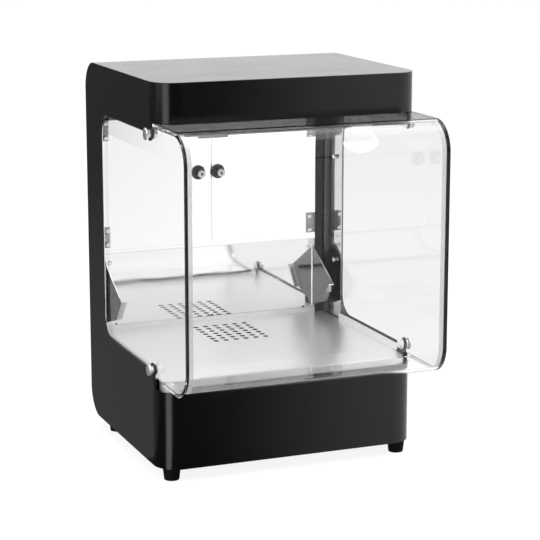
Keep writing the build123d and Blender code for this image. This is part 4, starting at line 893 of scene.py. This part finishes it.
bead_finish = surface(
    "bead", (0.62, 0.625, 0.625), (0.7, 0.7, 0.7), (0.30, 0.42),
    grain_size=0.0015, relief=0.00001, marks=0.4, marks_size=0.01, Alpha=0.45,
)
shape = copied("hood_gaskets")
for vertex in shape.verts:
    side = math.copysign(1.0, vertex.co.x)
    depth = BEAD_OUTER_X - (abs(vertex.co.x) - BEAD_SHIFT)
    vertex.co.x = side * (BEAD_OUTER_X - depth * BEAD_WIDEN)
new_piece("bow_beads", shape, "cabinet", bead_finish)

# %% [markdown]
# Behind each side window, the black jamb of the door ends in a narrow return with a bright upright
# edge. It is no thicker than foil, which is too thin for a solid of its own. A strip of polished
# steel, two tenths of a millimetre thick, is laid on the jamb instead, and its length is read from
# the jamb itself.

# %% Jamb strips
STRIP_X = (0.17985, 0.18003)
STRIP_Y = (0.1762, 0.1874)
STRIP_EASE = 0.00005


def slab(shape, corner, opposite):
    """Add a box between two corners to a bmesh."""
    made = bmesh.ops.create_cube(shape, size=1.0)["verts"]
    for vertex in made:
        for axis in range(3):
            low, high = sorted((corner[axis], opposite[axis]))
            vertex.co[axis] = high if vertex.co[axis] > 0 else low


jamb_low, jamb_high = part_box("right_door_jamb")
shape = bmesh.new()
for side in (-1, 1):
    slab(
        shape,
        (side * STRIP_X[0], STRIP_Y[0], jamb_low.z),
        (side * STRIP_X[1], STRIP_Y[1], jamb_high.z),
    )
shape = eased(shape, STRIP_EASE, 1)
new_piece("jamb_strips", shape, "cabinet", finishes["bright_steel"])

# %% [markdown]
# Each knob is held by a screw under a pale cap, and the cap has a small socket for the driver. The
# solid has the socket too, but its pale walls light each other, so from afar it fills up. A shallow
# dark cup at the bottom is painted shade, which makes the socket read as a dark dot. It rides on
# the door, so it swings with its knob.

# %% Knob sockets, with a cup of painted shade
SOCKET_RADIUS = 0.0017
SOCKET_BOTTOM = 0.0014
CUP_DEPTH = 0.0006
CUP_TAPER = 0.7
CUP_SIDES = 24


def ring(shape, centre, radius):
    """A ring of vertices about the Y axis, round a centre."""
    turns = [2 * math.pi * step / CUP_SIDES for step in range(CUP_SIDES)]
    x, y, z = centre
    return [shape.verts.new((x + radius * math.cos(t), y, z + radius * math.sin(t))) for t in turns]


for side in ("left", "right"):
    low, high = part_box(f"{side}_knob_screw")
    x, z = (low.x + high.x) / 2, (low.z + high.z) / 2
    bottom_y = low.y + SOCKET_BOTTOM
    shape = bmesh.new()
    # a dark cup of painted shade at the bottom of the socket
    mouth = ring(shape, (x, bottom_y - CUP_DEPTH, z), SOCKET_RADIUS)
    floor_ring = ring(shape, (x, bottom_y, z), SOCKET_RADIUS * CUP_TAPER)
    for step in range(CUP_SIDES):
        following = (step + 1) % CUP_SIDES
        shape.faces.new((mouth[step], mouth[following], floor_ring[following], floor_ring[step]))
    shape.faces.new(list(reversed(floor_ring)))
    shape.faces.new(mouth)
    bmesh.ops.recalc_face_normals(shape, faces=shape.faces)
    new_piece(f"{side}_knob_socket_shade_cup", shape, f"{side}_door", finishes["dark_screw"])

# %% [markdown]
# ## The end

# %% End
print("done")
